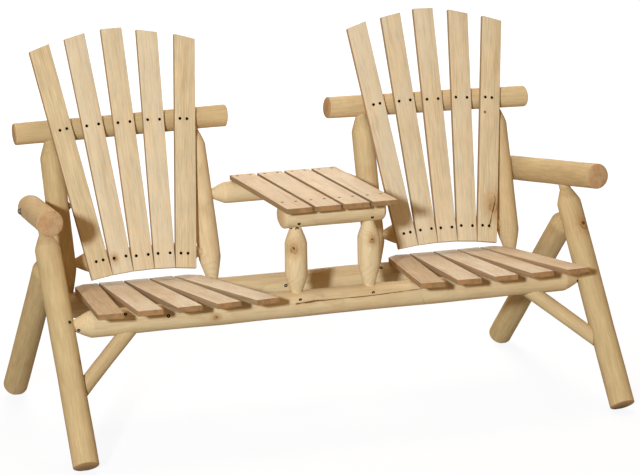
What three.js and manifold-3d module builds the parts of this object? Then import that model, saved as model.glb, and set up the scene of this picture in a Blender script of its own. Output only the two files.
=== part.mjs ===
import * as THREE from 'three';
import { mergeVertices } from 'three/addons/utils/BufferGeometryUtils.js';
import Module from 'manifold-3d';

// A rustic loveseat of peeled logs and flat boards: two fan-backed seats with a small table between them.
// X runs along the bench, Y to the rear and Z up from the floor. The left side mirrors the right side.
// Lengths are in millimetres and angles in degrees.

// Fits, and how finely round things are faceted
const fitGap = 0.3;
const cutOverrun = 5;
const logSides = 16;
const screwSides = 6;
const boltSides = 8;
const endEase = 2.5;

// Legs: each pair lies in one upright plane at its end of the bench
const legSpan = 1592;
const legRadius = 37;
const legTipRadius = 17;
const legTenon = 28;
const frontLegLean = 35.1;
const frontLegSplay = 0.5;
const frontLegTaper = 45;
const legJointDrop = 96;
const rearLegInset = 5;
const rearLegTaper = 36;
const heelFlat = 3;

// The two long rails that carry the seats
const railRadius = 37.5;
const railTipRadius = 17;
const railTenon = 30;
const railTaper = 46;
const frontRailHeight = 353;
const rearRailHeight = 331;
const railSpacing = 327;

// Braces between the front rail and the front legs
const braceRadius = 22;
const braceReach = 214;
const braceSetback = 14;

// Seat boards, fanned out towards the front
const boardThickness = 15;
const boardsPerSeat = 5;
const seatInset = 324;
const seatBoardWidth = 71;
const seatFrontReach = 159;
const seatRearReach = 24;
const seatFrontPitch = 112.6;
const seatRearPitch = 75.3;
const seatFrontShift = -2;
const seatRearShift = 11;
const seatClipAcross = 28;
const seatClipAlong = 36;

// Back boards, fanned out towards the top, from the inner one to the outer one
const backLean = 18.9;
const backBoardWidth = 62.5;
const backBoardLength = 712;
const backBoardLengthShares = [0.9607, 0.9817, 1, 0.986, 0.9663];
const backBoardAngles = [-6.5, -2.3, 1.2, 5.2, 9.1];
const backTopCutAngles = [-11, -8, 0, 9, 9];
const backFootGap = 0.6;
const backFootSetback = 15.5;
const backFootRise = 32;
const backScrewSpacing = 36;
const backEdgeScrewSpacing = 21;
const backEdgeScrewShift = 5;
const backEdgeScrewDrop = 6;

// Uprights behind each back, and the two cross rails that the back boards are fastened to
const uprightRadius = 33;
const uprightTipRadius = 17;
const uprightTenon = 28;
const uprightFootTaper = 64;
const uprightTopTaper = 45;
const uprightSpacing = 437;
const innerUprightLean = 1.35;
const outerUprightLean = 0.6;
const uprightBoardClearance = 1.6;
const lowRailRise = 43;
const lowRailRadius = 31;
const lowRailTipRadius = 14;
const lowRailTaper = 38;
const lowRailTenon = 22;
const topRailRise = 434;
const topRailTilt = 0.86;
const topRailRadius = 32.2;
const topRailInnerReach = 95;
const topRailOuterReach = 108;

// Arms, seated on the front legs and bolted to the outer uprights
const armRadius = 37;
const armTenon = 34;
const armJointHeight = 626;
const armDrop = 26;
const armFrontReach = 207;
const armRearReach = 93;
const armFitPasses = 4;
const boltRadius = 4;
const boltHeadRadius = 9;
const boltHeadHeight = 6;
const boltHeadCrownShare = 0.6;
const boltEnd = 3;
const washerRadius = 11;
const washerThickness = 2;
const nutRadius = 8;
const nutHeight = 6.5;

// Table between the seats
const tableHeight = 651;
const tableBoards = 4;
const tableBoardWidth = 75;
const tableBoardGap = 10;
const tableFrontReach = 95;
const tableRearReach = 20;
const tableScrewSpacing = 40;
const tableBearerRadius = 37;
const tableBearerFlat = 23;
const tableBearerEase = 11;
const tableBearerSetback = 10;
const rearBearerRadius = 32;
const rearBearerTipRadius = 15;
const rearBearerTaper = 40;
const rearBearerTenon = 24;
const postSpacing = 220;
const postRadius = 32.4;
const postTipRadius = 16.5;
const postTenon = 26;
const postFootTaperShare = 0.35;
const postTopTaperShare = 0.238;

// Wood screws: boards are drilled and countersunk for theirs, and lock screws pin the tenons that carry most
const screwHeadRadius = 4;
const screwHeadDepth = 3;
const screwShankRadius = 2.2;
const screwSink = 0.4;
const lockScrewBite = 8;
const lockScrewDepthShare = 0.69;

// Colours and surfaces
const logColour = 0xd9bb8a;
const backBoardColour = 0xdcbf94;
const seatBoardColour = 0xd6ab80;
const screwColour = 0x33291f;
const boltColour = 0x55504a;
const woodSurface = { roughness: 0.75, metalness: 0 };
const metalSurface = { roughness: 0.45, metalness: 0.8 };

const wasm = await Module();
wasm.setup();

const { degToRad } = THREE.MathUtils;
const xAxis = new THREE.Vector3(1, 0, 0);
const yAxis = new THREE.Vector3(0, 1, 0);
const zAxis = new THREE.Vector3(0, 0, 1);
const unitScale = new THREE.Vector3(1, 1, 1);
const sides = [{ name: 'left', sign: -1 }, { name: 'right', sign: 1 }];

const bench = new THREE.Group();
const frameGroup = new THREE.Group();
const tableGroup = new THREE.Group();
const seatGroups = new Map(sides.map((side) => [side.name, new THREE.Group()]));
bench.add(frameGroup, tableGroup, ...seatGroups.values());

// Small helpers for points and directions
function point(x, y, z) {
  return new THREE.Vector3(x, y, z);
}

function shifted(origin, direction, distance) {
  return origin.clone().addScaledVector(direction, distance);
}

// A direction in the plane across the bench, leaning back from upright by an angle
function leaning(angle) {
  return point(0, Math.sin(degToRad(angle)), Math.cos(degToRad(angle)));
}

// A place whose own Y axis runs along a direction
function placeAlong(origin, direction) {
  const turn = new THREE.Quaternion().setFromUnitVectors(yAxis, direction);
  return new THREE.Matrix4().compose(origin, turn, unitScale);
}

// A place for a board: its own Y axis runs along it and its own Z axis is its upper or front face
function placeBoard(origin, along, normal) {
  const across = new THREE.Vector3().crossVectors(along, normal);
  return new THREE.Matrix4().makeBasis(across, along, normal).setPosition(origin);
}

// Turned and extruded shapes; a turned outline is a list of pairs, radius first, from one end to the other
function turned(outline, sideCount) {
  const points = outline.map(([radius, along]) => new THREE.Vector2(radius, along));
  return new THREE.LatheGeometry(points, sideCount);
}

// A flat board. Its far end can lose one corner, or fall to its right by an angle.
function boardShape(width, length, thickness, clipSign, endCutAngle) {
  const half = width / 2;
  const fall = half * Math.tan(degToRad(endCutAngle));
  const outline = new THREE.Shape();
  outline.moveTo(-half, 0);
  outline.lineTo(half, 0);
  if (clipSign > 0) {
    outline.lineTo(half, length - seatClipAlong);
    outline.lineTo(half - seatClipAcross, length);
  } else {
    outline.lineTo(half, length - fall);
  }
  if (clipSign < 0) {
    outline.lineTo(seatClipAcross - half, length);
    outline.lineTo(-half, length - seatClipAlong);
  } else {
    outline.lineTo(-half, length + fall);
  }
  outline.closePath();
  return new THREE.ExtrudeGeometry(outline, { depth: thickness, bevelEnabled: false });
}

// Pieces wait here, with the shapes that are cut out of them, until everything is placed
const pieces = new Map();

function addPiece(group, name, shape, place, colour) {
  pieces.set(name, { group, shape, place, colour, surface: woodSurface, cutters: [] });
}

function addHardware(group, name, shape, place, colour) {
  pieces.set(name, { group, shape, place, colour, surface: metalSurface, cutters: [] });
}

function cutFrom(name, shape, place) {
  pieces.get(name).cutters.push({ shape, place });
}

// Log ends: a tip is a pencil taper with a round tenon, which starts at its seat, a distance from the joint's
// centre. A square end reaches past the centre and has its rim eased.
function tip(seat, tenon, taper, radius) {
  return { seat, tenon, taper, radius };
}

function squareEnd(reach, ease = endEase) {
  return { reach, ease };
}

function endOutline(end, radius) {
  if (end.tenon) {
    const depth = end.seat - end.tenon;
    return [[0, depth], [end.radius, depth], [end.radius, end.seat], [radius, end.seat + end.taper]];
  }
  return [[0, -end.reach], [radius - end.ease, -end.reach], [radius, end.ease - end.reach]];
}

// Where a tip's taper stops on a round log that it meets at an angle
function seatOn(hostRadius, tipRadius, angle) {
  return hostRadius / Math.sin(angle) + tipRadius / Math.abs(Math.tan(angle)) + fitGap;
}

// A log from one joint centre to another
function addLog(group, name, from, to, radius, start, finish) {
  const length = from.distanceTo(to);
  const axis = to.clone().sub(from).normalize();
  const first = endOutline(start, radius);
  const last = endOutline(finish, radius).map(([wide, along]) => [wide, length - along]);
  const shape = turned([...first, ...last.reverse()], logSides);
  const place = placeAlong(from, axis);
  addPiece(group, name, shape, place, logColour);
  return { name, from, to, axis, length, radius, start, finish, place };
}

function pointAtHeight(log, height) {
  return shifted(log.from, log.axis, (height - log.from.z) / log.axis.z);
}

// A blind round mortise in one log for the tenon of another
function mortise(host, guest, end) {
  const tenonEnd = end.seat - end.tenon - fitGap;
  const mouth = end.seat + cutOverrun;
  const wide = end.radius + fitGap;
  const outline = [[0, tenonEnd], [wide, tenonEnd], [wide, mouth], [0, mouth]];
  const atFinish = end === guest.finish;
  const placed = atFinish ? outline.map(([r, along]) => [r, guest.length - along]).reverse() : outline;
  cutFrom(host.name, turned(placed, logSides), guest.place);
}

// A countersunk hole for a screw, as a turned outline from outside the wood inward
function countersink(depth) {
  const flare = (screwHeadRadius - screwShankRadius) / screwHeadDepth;
  return [
    [0, -cutOverrun],
    [screwHeadRadius + fitGap + flare * cutOverrun, -cutOverrun],
    [screwShankRadius + fitGap, screwHeadDepth],
    [screwShankRadius + fitGap, depth],
    [0, depth],
  ];
}

function drillBoard(name, head, direction) {
  const hole = turned(countersink(boardThickness + cutOverrun), screwSides);
  cutFrom(name, hole, placeAlong(head, direction));
}

// A screw through a log into the tenon that is seated in it
function lockTenon(name, host, guest, end, direction) {
  const run = end.seat - end.tenon * lockScrewDepthShare;
  const target = shifted(guest.from, guest.axis, end === guest.finish ? guest.length - run : run);
  const fromAxis = target.clone().sub(host.from);
  fromAxis.addScaledVector(host.axis, -fromAxis.dot(host.axis));
  const depth = fromAxis.dot(direction);
  const aside = fromAxis.lengthSq() - depth * depth;
  const cover = depth + Math.sqrt(host.radius * host.radius - aside) - screwSink;
  const length = cover + lockScrewBite;
  const place = placeAlong(shifted(target, direction, -cover), direction);
  const screw = turned([
    [0, 0],
    [screwHeadRadius, 0],
    [screwShankRadius, screwHeadDepth],
    [screwShankRadius, length],
    [0, length],
  ], screwSides);
  addHardware(frameGroup, name, screw, place, screwColour);
  const pilot = turned(countersink(length + fitGap), screwSides);
  cutFrom(host.name, pilot, place);
  cutFrom(guest.name, pilot, place);
}

// Front and rear rails
const legX = legSpan / 2;
const seatCentre = legX - seatInset;
const rearLegX = legX - rearLegInset;
const squareSeat = (hostRadius) => hostRadius + fitGap;
const railTip = tip(squareSeat(legRadius), railTenon, railTaper, railTipRadius);

function addRail(name, halfSpan, y, height) {
  const from = point(-halfSpan, y, height);
  const to = point(halfSpan, y, height);
  return addLog(frameGroup, name, from, to, railRadius, { ...railTip }, { ...railTip });
}

function railEnd(rail, side) {
  return side.sign < 0 ? rail.start : rail.finish;
}

const frontRail = addRail('front_rail', legX, 0, frontRailHeight);
const rearRail = addRail('rear_rail', rearLegX, railSpacing, rearRailHeight);

// Legs: the front leg passes the front rail and leans back to the arm. The rear leg passes the rear rail and
// leans forward into the front leg, below the arm.
const frontLegSlope = Math.tan(degToRad(frontLegLean));
const legJointHeight = armJointHeight - legJointDrop;

// The centre of a foot stands so high that its lower rim reaches the floor, less the heel that is dressed off
function footCentre(crossing, axis) {
  const height = legRadius * Math.sqrt(1 - axis.z * axis.z) - heelFlat;
  return shifted(crossing, axis, (height - crossing.z) / axis.z);
}

const groundShape = new THREE.BoxGeometry(legSpan * 2, legSpan * 2, legRadius * 2);
const groundPlace = new THREE.Matrix4().makeTranslation(0, 0, -legRadius);

function addLegs(side) {
  const frontRailEnd = point(side.sign * legX, 0, frontRailHeight);
  const rearRailEnd = point(side.sign * rearLegX, railSpacing, rearRailHeight);
  const splay = -side.sign * Math.tan(degToRad(frontLegSplay));
  const frontAxis = point(splay, frontLegSlope, 1).normalize();
  const legTop = shifted(frontRailEnd, frontAxis, (armJointHeight - frontRailHeight) / frontAxis.z);
  const legJoint = shifted(frontRailEnd, frontAxis, (legJointHeight - frontRailHeight) / frontAxis.z);
  const rearAxis = legJoint.clone().sub(rearRailEnd).normalize();
  const armAngle = Math.PI / 2 - degToRad(frontLegLean) + Math.atan(armDrop / railSpacing);
  const front = addLog(
    frameGroup,
    `front_leg_${side.name}`,
    footCentre(frontRailEnd, frontAxis),
    legTop,
    legRadius,
    squareEnd(0),
    tip(seatOn(armRadius, legTipRadius, armAngle), armTenon, frontLegTaper, legTipRadius),
  );
  const rear = addLog(
    frameGroup,
    `rear_leg_${side.name}`,
    footCentre(rearRailEnd, rearAxis),
    legJoint,
    legRadius,
    squareEnd(0),
    tip(seatOn(legRadius, legTipRadius, frontAxis.angleTo(rearAxis)), legTenon, rearLegTaper, legTipRadius),
  );
  cutFrom(front.name, groundShape, groundPlace);
  cutFrom(rear.name, groundShape, groundPlace);
  mortise(front, rear, rear.finish);
  mortise(front, frontRail, railEnd(frontRail, side));
  mortise(rear, rearRail, railEnd(rearRail, side));
  const inward = new THREE.Vector3().crossVectors(frontAxis, xAxis).normalize();
  lockTenon(`rail_lock_screw_${side.name}`, front, frontRail, railEnd(frontRail, side), inward);
  return { front, rear };
}

const legs = new Map(sides.map((side) => [side.name, addLegs(side)]));

// A round cutter a fit larger than a log, which copes the end of a brace to it
function copeTo(name, log) {
  const wide = log.radius + fitGap;
  const outline = [[0, 0], [wide, 0], [wide, log.length], [0, log.length]];
  cutFrom(name, turned(outline, logSides), log.place);
}

// Braces run a little behind the plane of the front legs, with both ends coped to the logs that they meet
function addBrace(side) {
  const leg = legs.get(side.name).front;
  const behind = new THREE.Vector3().crossVectors(leg.axis, xAxis).normalize();
  const corner = shifted(point(side.sign * legX, 0, frontRailHeight), behind, braceSetback);
  const top = shifted(corner, xAxis, -side.sign * braceReach);
  const foot = shifted(corner, leg.axis, -braceReach);
  const name = `leg_brace_${side.name}`;
  addLog(frameGroup, name, top, foot, braceRadius, squareEnd(0, 0), squareEnd(0, 0));
  copeTo(name, frontRail);
  copeTo(name, leg);
}

sides.forEach(addBrace);

// The seat plane rests on both rails, and the back plane stands behind the seat
const seatSlope = Math.atan((frontRailHeight - rearRailHeight) / railSpacing);
const seatAlong = point(0, Math.cos(seatSlope), -Math.sin(seatSlope));
const seatNormal = new THREE.Vector3().crossVectors(xAxis, seatAlong);
const seatOrigin = shifted(point(0, 0, frontRailHeight), seatNormal, railRadius + fitGap);
const seatRun = railSpacing / Math.cos(seatSlope);
const backUp = leaning(backLean);
const backNormal = new THREE.Vector3().crossVectors(xAxis, backUp);
const backFootY = railSpacing - backFootSetback;
const seatTopAtBack = seatOrigin.z + (boardThickness - backFootY * Math.sin(seatSlope)) / Math.cos(seatSlope);
const backOrigin = point(0, backFootY, seatTopAtBack + backFootRise);

// A point on the back plane, or at a distance behind it
function backPoint(x, rise, behind) {
  return shifted(shifted(shifted(backOrigin, xAxis, x), backUp, rise), backNormal, -behind);
}

// Seat boards lie across both rails, side by side at the back. The outermost ones are clipped, clear of the
// uprights.
function addSeatBoards(side) {
  const middle = (boardsPerSeat - 1) / 2;
  const group = seatGroups.get(side.name);
  for (let index = 0; index < boardsPerSeat; index += 1) {
    const step = index - middle;
    const frontX = side.sign * (seatCentre + seatFrontShift + step * seatFrontPitch);
    const rearX = side.sign * (seatCentre + seatRearShift + step * seatRearPitch);
    const front = shifted(shifted(seatOrigin, xAxis, frontX), seatAlong, -seatFrontReach);
    const rear = shifted(shifted(seatOrigin, xAxis, rearX), seatAlong, seatRun + seatRearReach);
    const along = rear.clone().sub(front).normalize();
    const length = front.distanceTo(rear);
    const atEdge = Math.abs(step) === middle;
    const clipSign = atEdge ? Math.sign(step) * side.sign : 0;
    const name = `seat_board_${side.name}_${index + 1}`;
    const shape = boardShape(seatBoardWidth, length, boardThickness, clipSign, 0);
    addPiece(group, name, shape, placeBoard(front, along, seatNormal), seatBoardColour);
  }
}

sides.forEach(addSeatBoards);

// Uprights rise from the rear rail, pass just behind the back boards and end in the top rail
const topRailSeat = topRailRadius + fitGap;
const uprightShoulderRise = topRailRise - topRailSeat - uprightTopTaper;

function addUpright(side, part, offsetSign, lean) {
  const footX = side.sign * (seatCentre + offsetSign * uprightSpacing / 2);
  const foot = point(footX, railSpacing, rearRailHeight);
  const drift = side.sign * Math.tan(degToRad(lean)) * (uprightShoulderRise + backOrigin.z - foot.z);
  const shoulder = backPoint(footX + drift, uprightShoulderRise, uprightRadius + uprightBoardClearance);
  const axis = shoulder.sub(foot).normalize();
  const railRise = topRailRise + (side.sign * footX - seatCentre) * -Math.tan(degToRad(topRailTilt));
  const railCentre = backPoint(footX, railRise, topRailSeat);
  const top = shifted(foot, axis, railCentre.clone().sub(foot).dot(axis));
  return addLog(
    seatGroups.get(side.name),
    `${part}_upright_${side.name}`,
    foot,
    top,
    uprightRadius,
    tip(squareSeat(railRadius), uprightTenon, uprightFootTaper, uprightTipRadius),
    tip(topRailSeat, uprightTenon, uprightTopTaper, uprightTipRadius),
  );
}

// The frame of one back: two uprights, the low rail between them and the top rail across them
function addBackFrame(side) {
  const group = seatGroups.get(side.name);
  const inner = addUpright(side, 'inner', -1, innerUprightLean);
  const outer = addUpright(side, 'outer', 1, outerUprightLean);
  const tilt = Math.tan(degToRad(topRailTilt));
  const railX = (x) => side.sign * x;
  const innerX = seatCentre - uprightSpacing / 2 - topRailInnerReach;
  const outerX = seatCentre + uprightSpacing / 2 + topRailOuterReach;
  const topRail = addLog(
    group,
    `top_rail_${side.name}`,
    backPoint(railX(innerX), topRailRise + (seatCentre - innerX) * tilt, topRailSeat),
    backPoint(railX(outerX), topRailRise + (seatCentre - outerX) * tilt, topRailSeat),
    topRailRadius,
    squareEnd(0),
    squareEnd(0),
  );
  const lowBehind = lowRailRadius + fitGap;
  const lowHeight = backPoint(0, lowRailRise, lowBehind);
  const lowTip = tip(squareSeat(uprightRadius), lowRailTenon, lowRailTaper, lowRailTipRadius);
  const lowRail = addLog(
    group,
    `low_back_rail_${side.name}`,
    point(pointAtHeight(inner, lowHeight.z).x, lowHeight.y, lowHeight.z),
    point(pointAtHeight(outer, lowHeight.z).x, lowHeight.y, lowHeight.z),
    lowRailRadius,
    { ...lowTip },
    { ...lowTip },
  );
  [[inner, lowRail.start], [outer, lowRail.finish]].forEach(([upright, lowEnd]) => {
    mortise(rearRail, upright, upright.start);
    mortise(topRail, upright, upright.finish);
    mortise(upright, lowRail, lowEnd);
  });
  return { inner, outer, topRail };
}

const backFrames = new Map(sides.map((side) => [side.name, addBackFrame(side)]));

// Where the foot of each back board stands, across and up the back: the middle board stands on the seat's
// centre line, and every other foot touches its neighbour's corner
function backFeet() {
  const middle = (backBoardAngles.length - 1) / 2;
  const half = (backBoardWidth + backFootGap) / 2;
  const feet = backBoardAngles.map(() => new THREE.Vector2(seatCentre, 0));
  [-1, 1].forEach((hand) => {
    for (let index = middle + hand; feet[index]; index += hand) {
      [index - hand, index].forEach((board, order) => {
        const from = order === 0 ? feet[board] : feet[index];
        const angle = degToRad(backBoardAngles[board]);
        const halfStep = new THREE.Vector2(Math.cos(angle), -Math.sin(angle)).multiplyScalar(hand * half);
        feet[index] = from.clone().add(halfStep);
      });
    }
  });
  return feet;
}

// Back boards fan out from their feet, with their tops cut along the fan's curve. Each is drilled for two
// screws into either cross rail.
function addBackBoards(side) {
  const group = seatGroups.get(side.name);
  const middle = (backBoardLengthShares.length - 1) / 2;
  const tilt = Math.tan(degToRad(topRailTilt));
  backFeet().forEach(({ x: footX, y: footRise }, index) => {
    const angle = degToRad(backBoardAngles[index]);
    const foot = backPoint(side.sign * footX, footRise, 0);
    const along = new THREE.Vector3().addScaledVector(backUp, Math.cos(angle));
    along.addScaledVector(xAxis, side.sign * Math.sin(angle));
    const across = new THREE.Vector3().crossVectors(along, backNormal);
    const name = `back_board_${side.name}_${index + 1}`;
    const length = backBoardLength * backBoardLengthShares[index];
    const topCut = side.sign * backTopCutAngles[index];
    const shape = boardShape(backBoardWidth, length, boardThickness, 0, topCut);
    addPiece(group, name, shape, placeBoard(foot, along, backNormal), backBoardColour);
    const lowRun = (lowRailRise - footRise) / Math.cos(angle);
    const topRiseHere = topRailRise + (seatCentre - footX) * tilt - footRise;
    const topRun = topRiseHere / (Math.cos(angle) + Math.sin(angle) * tilt);
    const atEdge = Math.abs(index - middle) === middle;
    const spacing = atEdge ? backEdgeScrewSpacing : backScrewSpacing;
    const shift = atEdge ? -Math.sign(index - middle) * side.sign * backEdgeScrewShift : 0;
    const drop = atEdge ? backEdgeScrewDrop : 0;
    [lowRun - drop, topRun - drop].forEach((run) => {
      [-1, 1].forEach((hand) => {
        const onCentre = shifted(foot, along, run);
        const onBack = shifted(onCentre, across, shift + hand * spacing / 2);
        const head = shifted(onBack, backNormal, boardThickness - screwSink);
        drillBoard(name, head, backNormal.clone().negate());
      });
    });
  });
}

sides.forEach(addBackBoards);

// Arms lie on the front legs and run back beside the outer uprights
function nearestRun(log, from, axis) {
  const between = from.clone().sub(log.from);
  const shared = log.axis.dot(axis);
  return (between.dot(log.axis) - between.dot(axis) * shared) / (1 - shared * shared);
}

function addArm(side) {
  const leg = legs.get(side.name).front;
  const upright = backFrames.get(side.name).outer;
  const beside = pointAtHeight(upright, armJointHeight - armDrop);
  const reach = armRadius + uprightRadius + fitGap;
  let crossing = shifted(beside, xAxis, side.sign * reach);
  for (let pass = 0; pass < armFitPasses; pass += 1) {
    const direction = crossing.clone().sub(leg.to).normalize();
    const square = new THREE.Vector3().crossVectors(upright.axis, direction).normalize();
    crossing = shifted(beside, xAxis, side.sign * reach / Math.abs(square.x));
  }
  const axis = crossing.clone().sub(leg.to).normalize();
  const name = `arm_${side.name}`;
  const rearReach = squareEnd(armRearReach);
  const arm = addLog(frameGroup, name, leg.to, crossing, armRadius, squareEnd(armFrontReach), rearReach);
  mortise(arm, leg, leg.finish);
  const inward = new THREE.Vector3().crossVectors(upright.axis, axis).normalize();
  inward.multiplyScalar(-Math.sign(inward.x) * side.sign);
  const armCentre = shifted(arm.from, arm.axis, nearestRun(arm, upright.from, upright.axis));
  addArmBolt(side, arm, upright, armCentre, inward, reach);
}

// The bolt runs square to the arm and the upright, with a washer under its head and another under its nut
function addArmBolt(side, arm, upright, armCentre, inward, reach) {
  const grip = armRadius + reach + uprightRadius + 2 * fitGap;
  const bearing = shifted(armCentre, inward, -armRadius - fitGap);
  const place = placeAlong(bearing, inward);
  const headStart = -washerThickness - fitGap;
  const nutStart = grip + washerThickness + fitGap;
  const boltFinish = nutStart + nutHeight + boltEnd;
  const crown = boltHeadRadius * boltHeadCrownShare;
  const bolt = turned([
    [0, headStart - boltHeadHeight],
    [crown, headStart - boltHeadHeight],
    [boltHeadRadius, headStart],
    [boltRadius, headStart],
    [boltRadius, boltFinish],
    [0, boltFinish],
  ], boltSides);
  const bore = (boltRadius + fitGap) / Math.cos(Math.PI / screwSides);
  const ring = (start, thickness, radius, sideCount) => turned([
    [bore, start],
    [radius, start],
    [radius, start + thickness],
    [bore, start + thickness],
    [bore, start],
  ], sideCount);
  const washer = (start) => ring(start, washerThickness, washerRadius, boltSides);
  const nut = ring(nutStart, nutHeight, nutRadius, screwSides);
  addHardware(frameGroup, `arm_bolt_${side.name}`, bolt, place, boltColour);
  addHardware(frameGroup, `arm_bolt_washer_${side.name}`, washer(-washerThickness), place, boltColour);
  addHardware(frameGroup, `arm_nut_washer_${side.name}`, washer(grip), place, boltColour);
  addHardware(frameGroup, `arm_nut_${side.name}`, nut, place, boltColour);
  const hole = turned([
    [0, -cutOverrun],
    [bore, -cutOverrun],
    [bore, grip + cutOverrun],
    [0, grip + cutOverrun],
  ], boltSides);
  cutFrom(arm.name, hole, place);
  cutFrom(upright.name, hole, place);
}

sides.forEach(addArm);

// Table: posts on the front rail carry a log with a flat top, and a second bearer spans the inner uprights
const tableWidth = tableBoards * tableBoardWidth + (tableBoards - 1) * tableBoardGap;
const tableUnderside = tableHeight - boardThickness;
const frontBearerHeight = tableUnderside - fitGap - tableBearerFlat;
const frontBearerReach = tableWidth / 2 - tableBearerSetback;
const rearBearerHeight = tableUnderside - fitGap - rearBearerRadius;

const frontBearer = addLog(
  tableGroup,
  'table_front_bearer',
  point(-frontBearerReach, 0, frontBearerHeight),
  point(frontBearerReach, 0, frontBearerHeight),
  tableBearerRadius,
  squareEnd(0, tableBearerEase),
  squareEnd(0, tableBearerEase),
);
const planed = new THREE.BoxGeometry(tableWidth * 2, tableBearerRadius * 4, tableBearerRadius * 2);
const planedHeight = frontBearerHeight + tableBearerFlat + tableBearerRadius;
cutFrom(frontBearer.name, planed, new THREE.Matrix4().makeTranslation(0, 0, planedHeight));

const bearerEnds = sides.map((side) => pointAtHeight(backFrames.get(side.name).inner, rearBearerHeight));
const bearerTip = tip(squareSeat(uprightRadius), rearBearerTenon, rearBearerTaper, rearBearerTipRadius);
const rearBearer = addLog(
  tableGroup,
  'table_rear_bearer',
  bearerEnds[0],
  bearerEnds[1],
  rearBearerRadius,
  { ...bearerTip },
  { ...bearerTip },
);
[rearBearer.start, rearBearer.finish].forEach((end, index) => {
  const upright = backFrames.get(sides[index].name).inner;
  mortise(upright, rearBearer, end);
});

const postSeats = squareSeat(railRadius) + squareSeat(tableBearerRadius);
const postClear = frontBearerHeight - frontRailHeight - postSeats;
const postFootTaper = postClear * postFootTaperShare;
const postTopTaper = postClear * postTopTaperShare;

function addPost(side) {
  const x = side.sign * postSpacing / 2;
  const post = addLog(
    tableGroup,
    `table_post_${side.name}`,
    point(x, 0, frontRailHeight),
    point(x, 0, frontBearerHeight),
    postRadius,
    tip(squareSeat(railRadius), postTenon, postFootTaper, postTipRadius),
    tip(squareSeat(tableBearerRadius), postTenon, postTopTaper, postTipRadius),
  );
  mortise(frontRail, post, post.start);
  mortise(frontBearer, post, post.finish);
  lockTenon(`post_foot_lock_screw_${side.name}`, frontRail, post, post.start, yAxis);
  lockTenon(`post_top_lock_screw_${side.name}`, frontBearer, post, post.finish, yAxis);
}

sides.forEach(addPost);

const tableBoardRun = tableFrontReach + rearBearer.from.y + tableRearReach;
for (let index = 0; index < tableBoards; index += 1) {
  const pitch = tableBoardWidth + tableBoardGap;
  const x = (index - (tableBoards - 1) / 2) * pitch;
  const name = `table_board_${index + 1}`;
  const shape = boardShape(tableBoardWidth, tableBoardRun, boardThickness, 0, 0);
  const front = point(x, -tableFrontReach, tableUnderside);
  addPiece(tableGroup, name, shape, placeBoard(front, yAxis, zAxis), seatBoardColour);
  [frontBearer, rearBearer].forEach((bearer) => {
    [-1, 1].forEach((hand) => {
      const head = point(x + hand * tableScrewSpacing / 2, bearer.from.y, tableHeight - screwSink);
      drillBoard(name, head, zAxis.clone().negate());
    });
  });
}

// Closed solids for the cuts: corners are welded and the flat triangles at a turned shape's axis dropped
function toSolid(geometry, matrix) {
  const bare = geometry.clone();
  bare.deleteAttribute('normal');
  bare.deleteAttribute('uv');
  const welded = mergeVertices(bare);
  welded.applyMatrix4(matrix);
  const corners = welded.index.array;
  const kept = [];
  for (let start = 0; start < corners.length; start += 3) {
    const [a, b, c] = corners.subarray(start, start + 3);
    if (a !== b && b !== c && c !== a) {
      kept.push(a, b, c);
    }
  }
  const vertProperties = new Float32Array(welded.attributes.position.array);
  const triVerts = new Uint32Array(kept);
  return new wasm.Manifold(new wasm.Mesh({ numProp: 3, vertProperties, triVerts }));
}

function toGeometry(solid) {
  const { vertProperties, triVerts } = solid.getMesh();
  const geometry = new THREE.BufferGeometry();
  geometry.setAttribute('position', new THREE.BufferAttribute(vertProperties, 3));
  geometry.setIndex(new THREE.BufferAttribute(triVerts, 1));
  geometry.computeVertexNormals();
  return geometry;
}

function finishedShape(piece) {
  const home = piece.place.clone().invert();
  let solid = toSolid(piece.shape, new THREE.Matrix4());
  piece.cutters.forEach((cutter) => {
    solid = solid.subtract(toSolid(cutter.shape, home.clone().multiply(cutter.place)));
  });
  return toGeometry(solid);
}

pieces.forEach((piece, name) => {
  const material = new THREE.MeshStandardMaterial({ color: piece.colour, ...piece.surface });
  const mesh = new THREE.Mesh(finishedShape(piece), material);
  mesh.name = name;
  piece.place.decompose(mesh.position, mesh.quaternion, mesh.scale);
  mesh.scale.copy(unitScale);
  piece.group.add(mesh);
});

// Until here Y is measured from the front rail; the loveseat's own origin is the middle of its footprint
const footprint = new THREE.Box3().setFromObject(bench, true).getCenter(new THREE.Vector3());
bench.position.y = -footprint.y;
const loveseat = new THREE.Group();
loveseat.add(bench);

export default loveseat;
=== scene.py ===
# %% [markdown]
# # A log loveseat with two fan-shaped backs
# Peeled pine logs carry two fans of planed boards, with a small table between the seats. This lesson
# dresses a measured frame: every piece keeps the place and the size that the frame gives it, and gains
# the unevenness, the grain, the knots and the screws of real wood. First the frame is loaded.

# %% Load the frame
import math

import bmesh
import bpy
import numpy as np
from mathutils import Matrix, Vector


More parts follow.
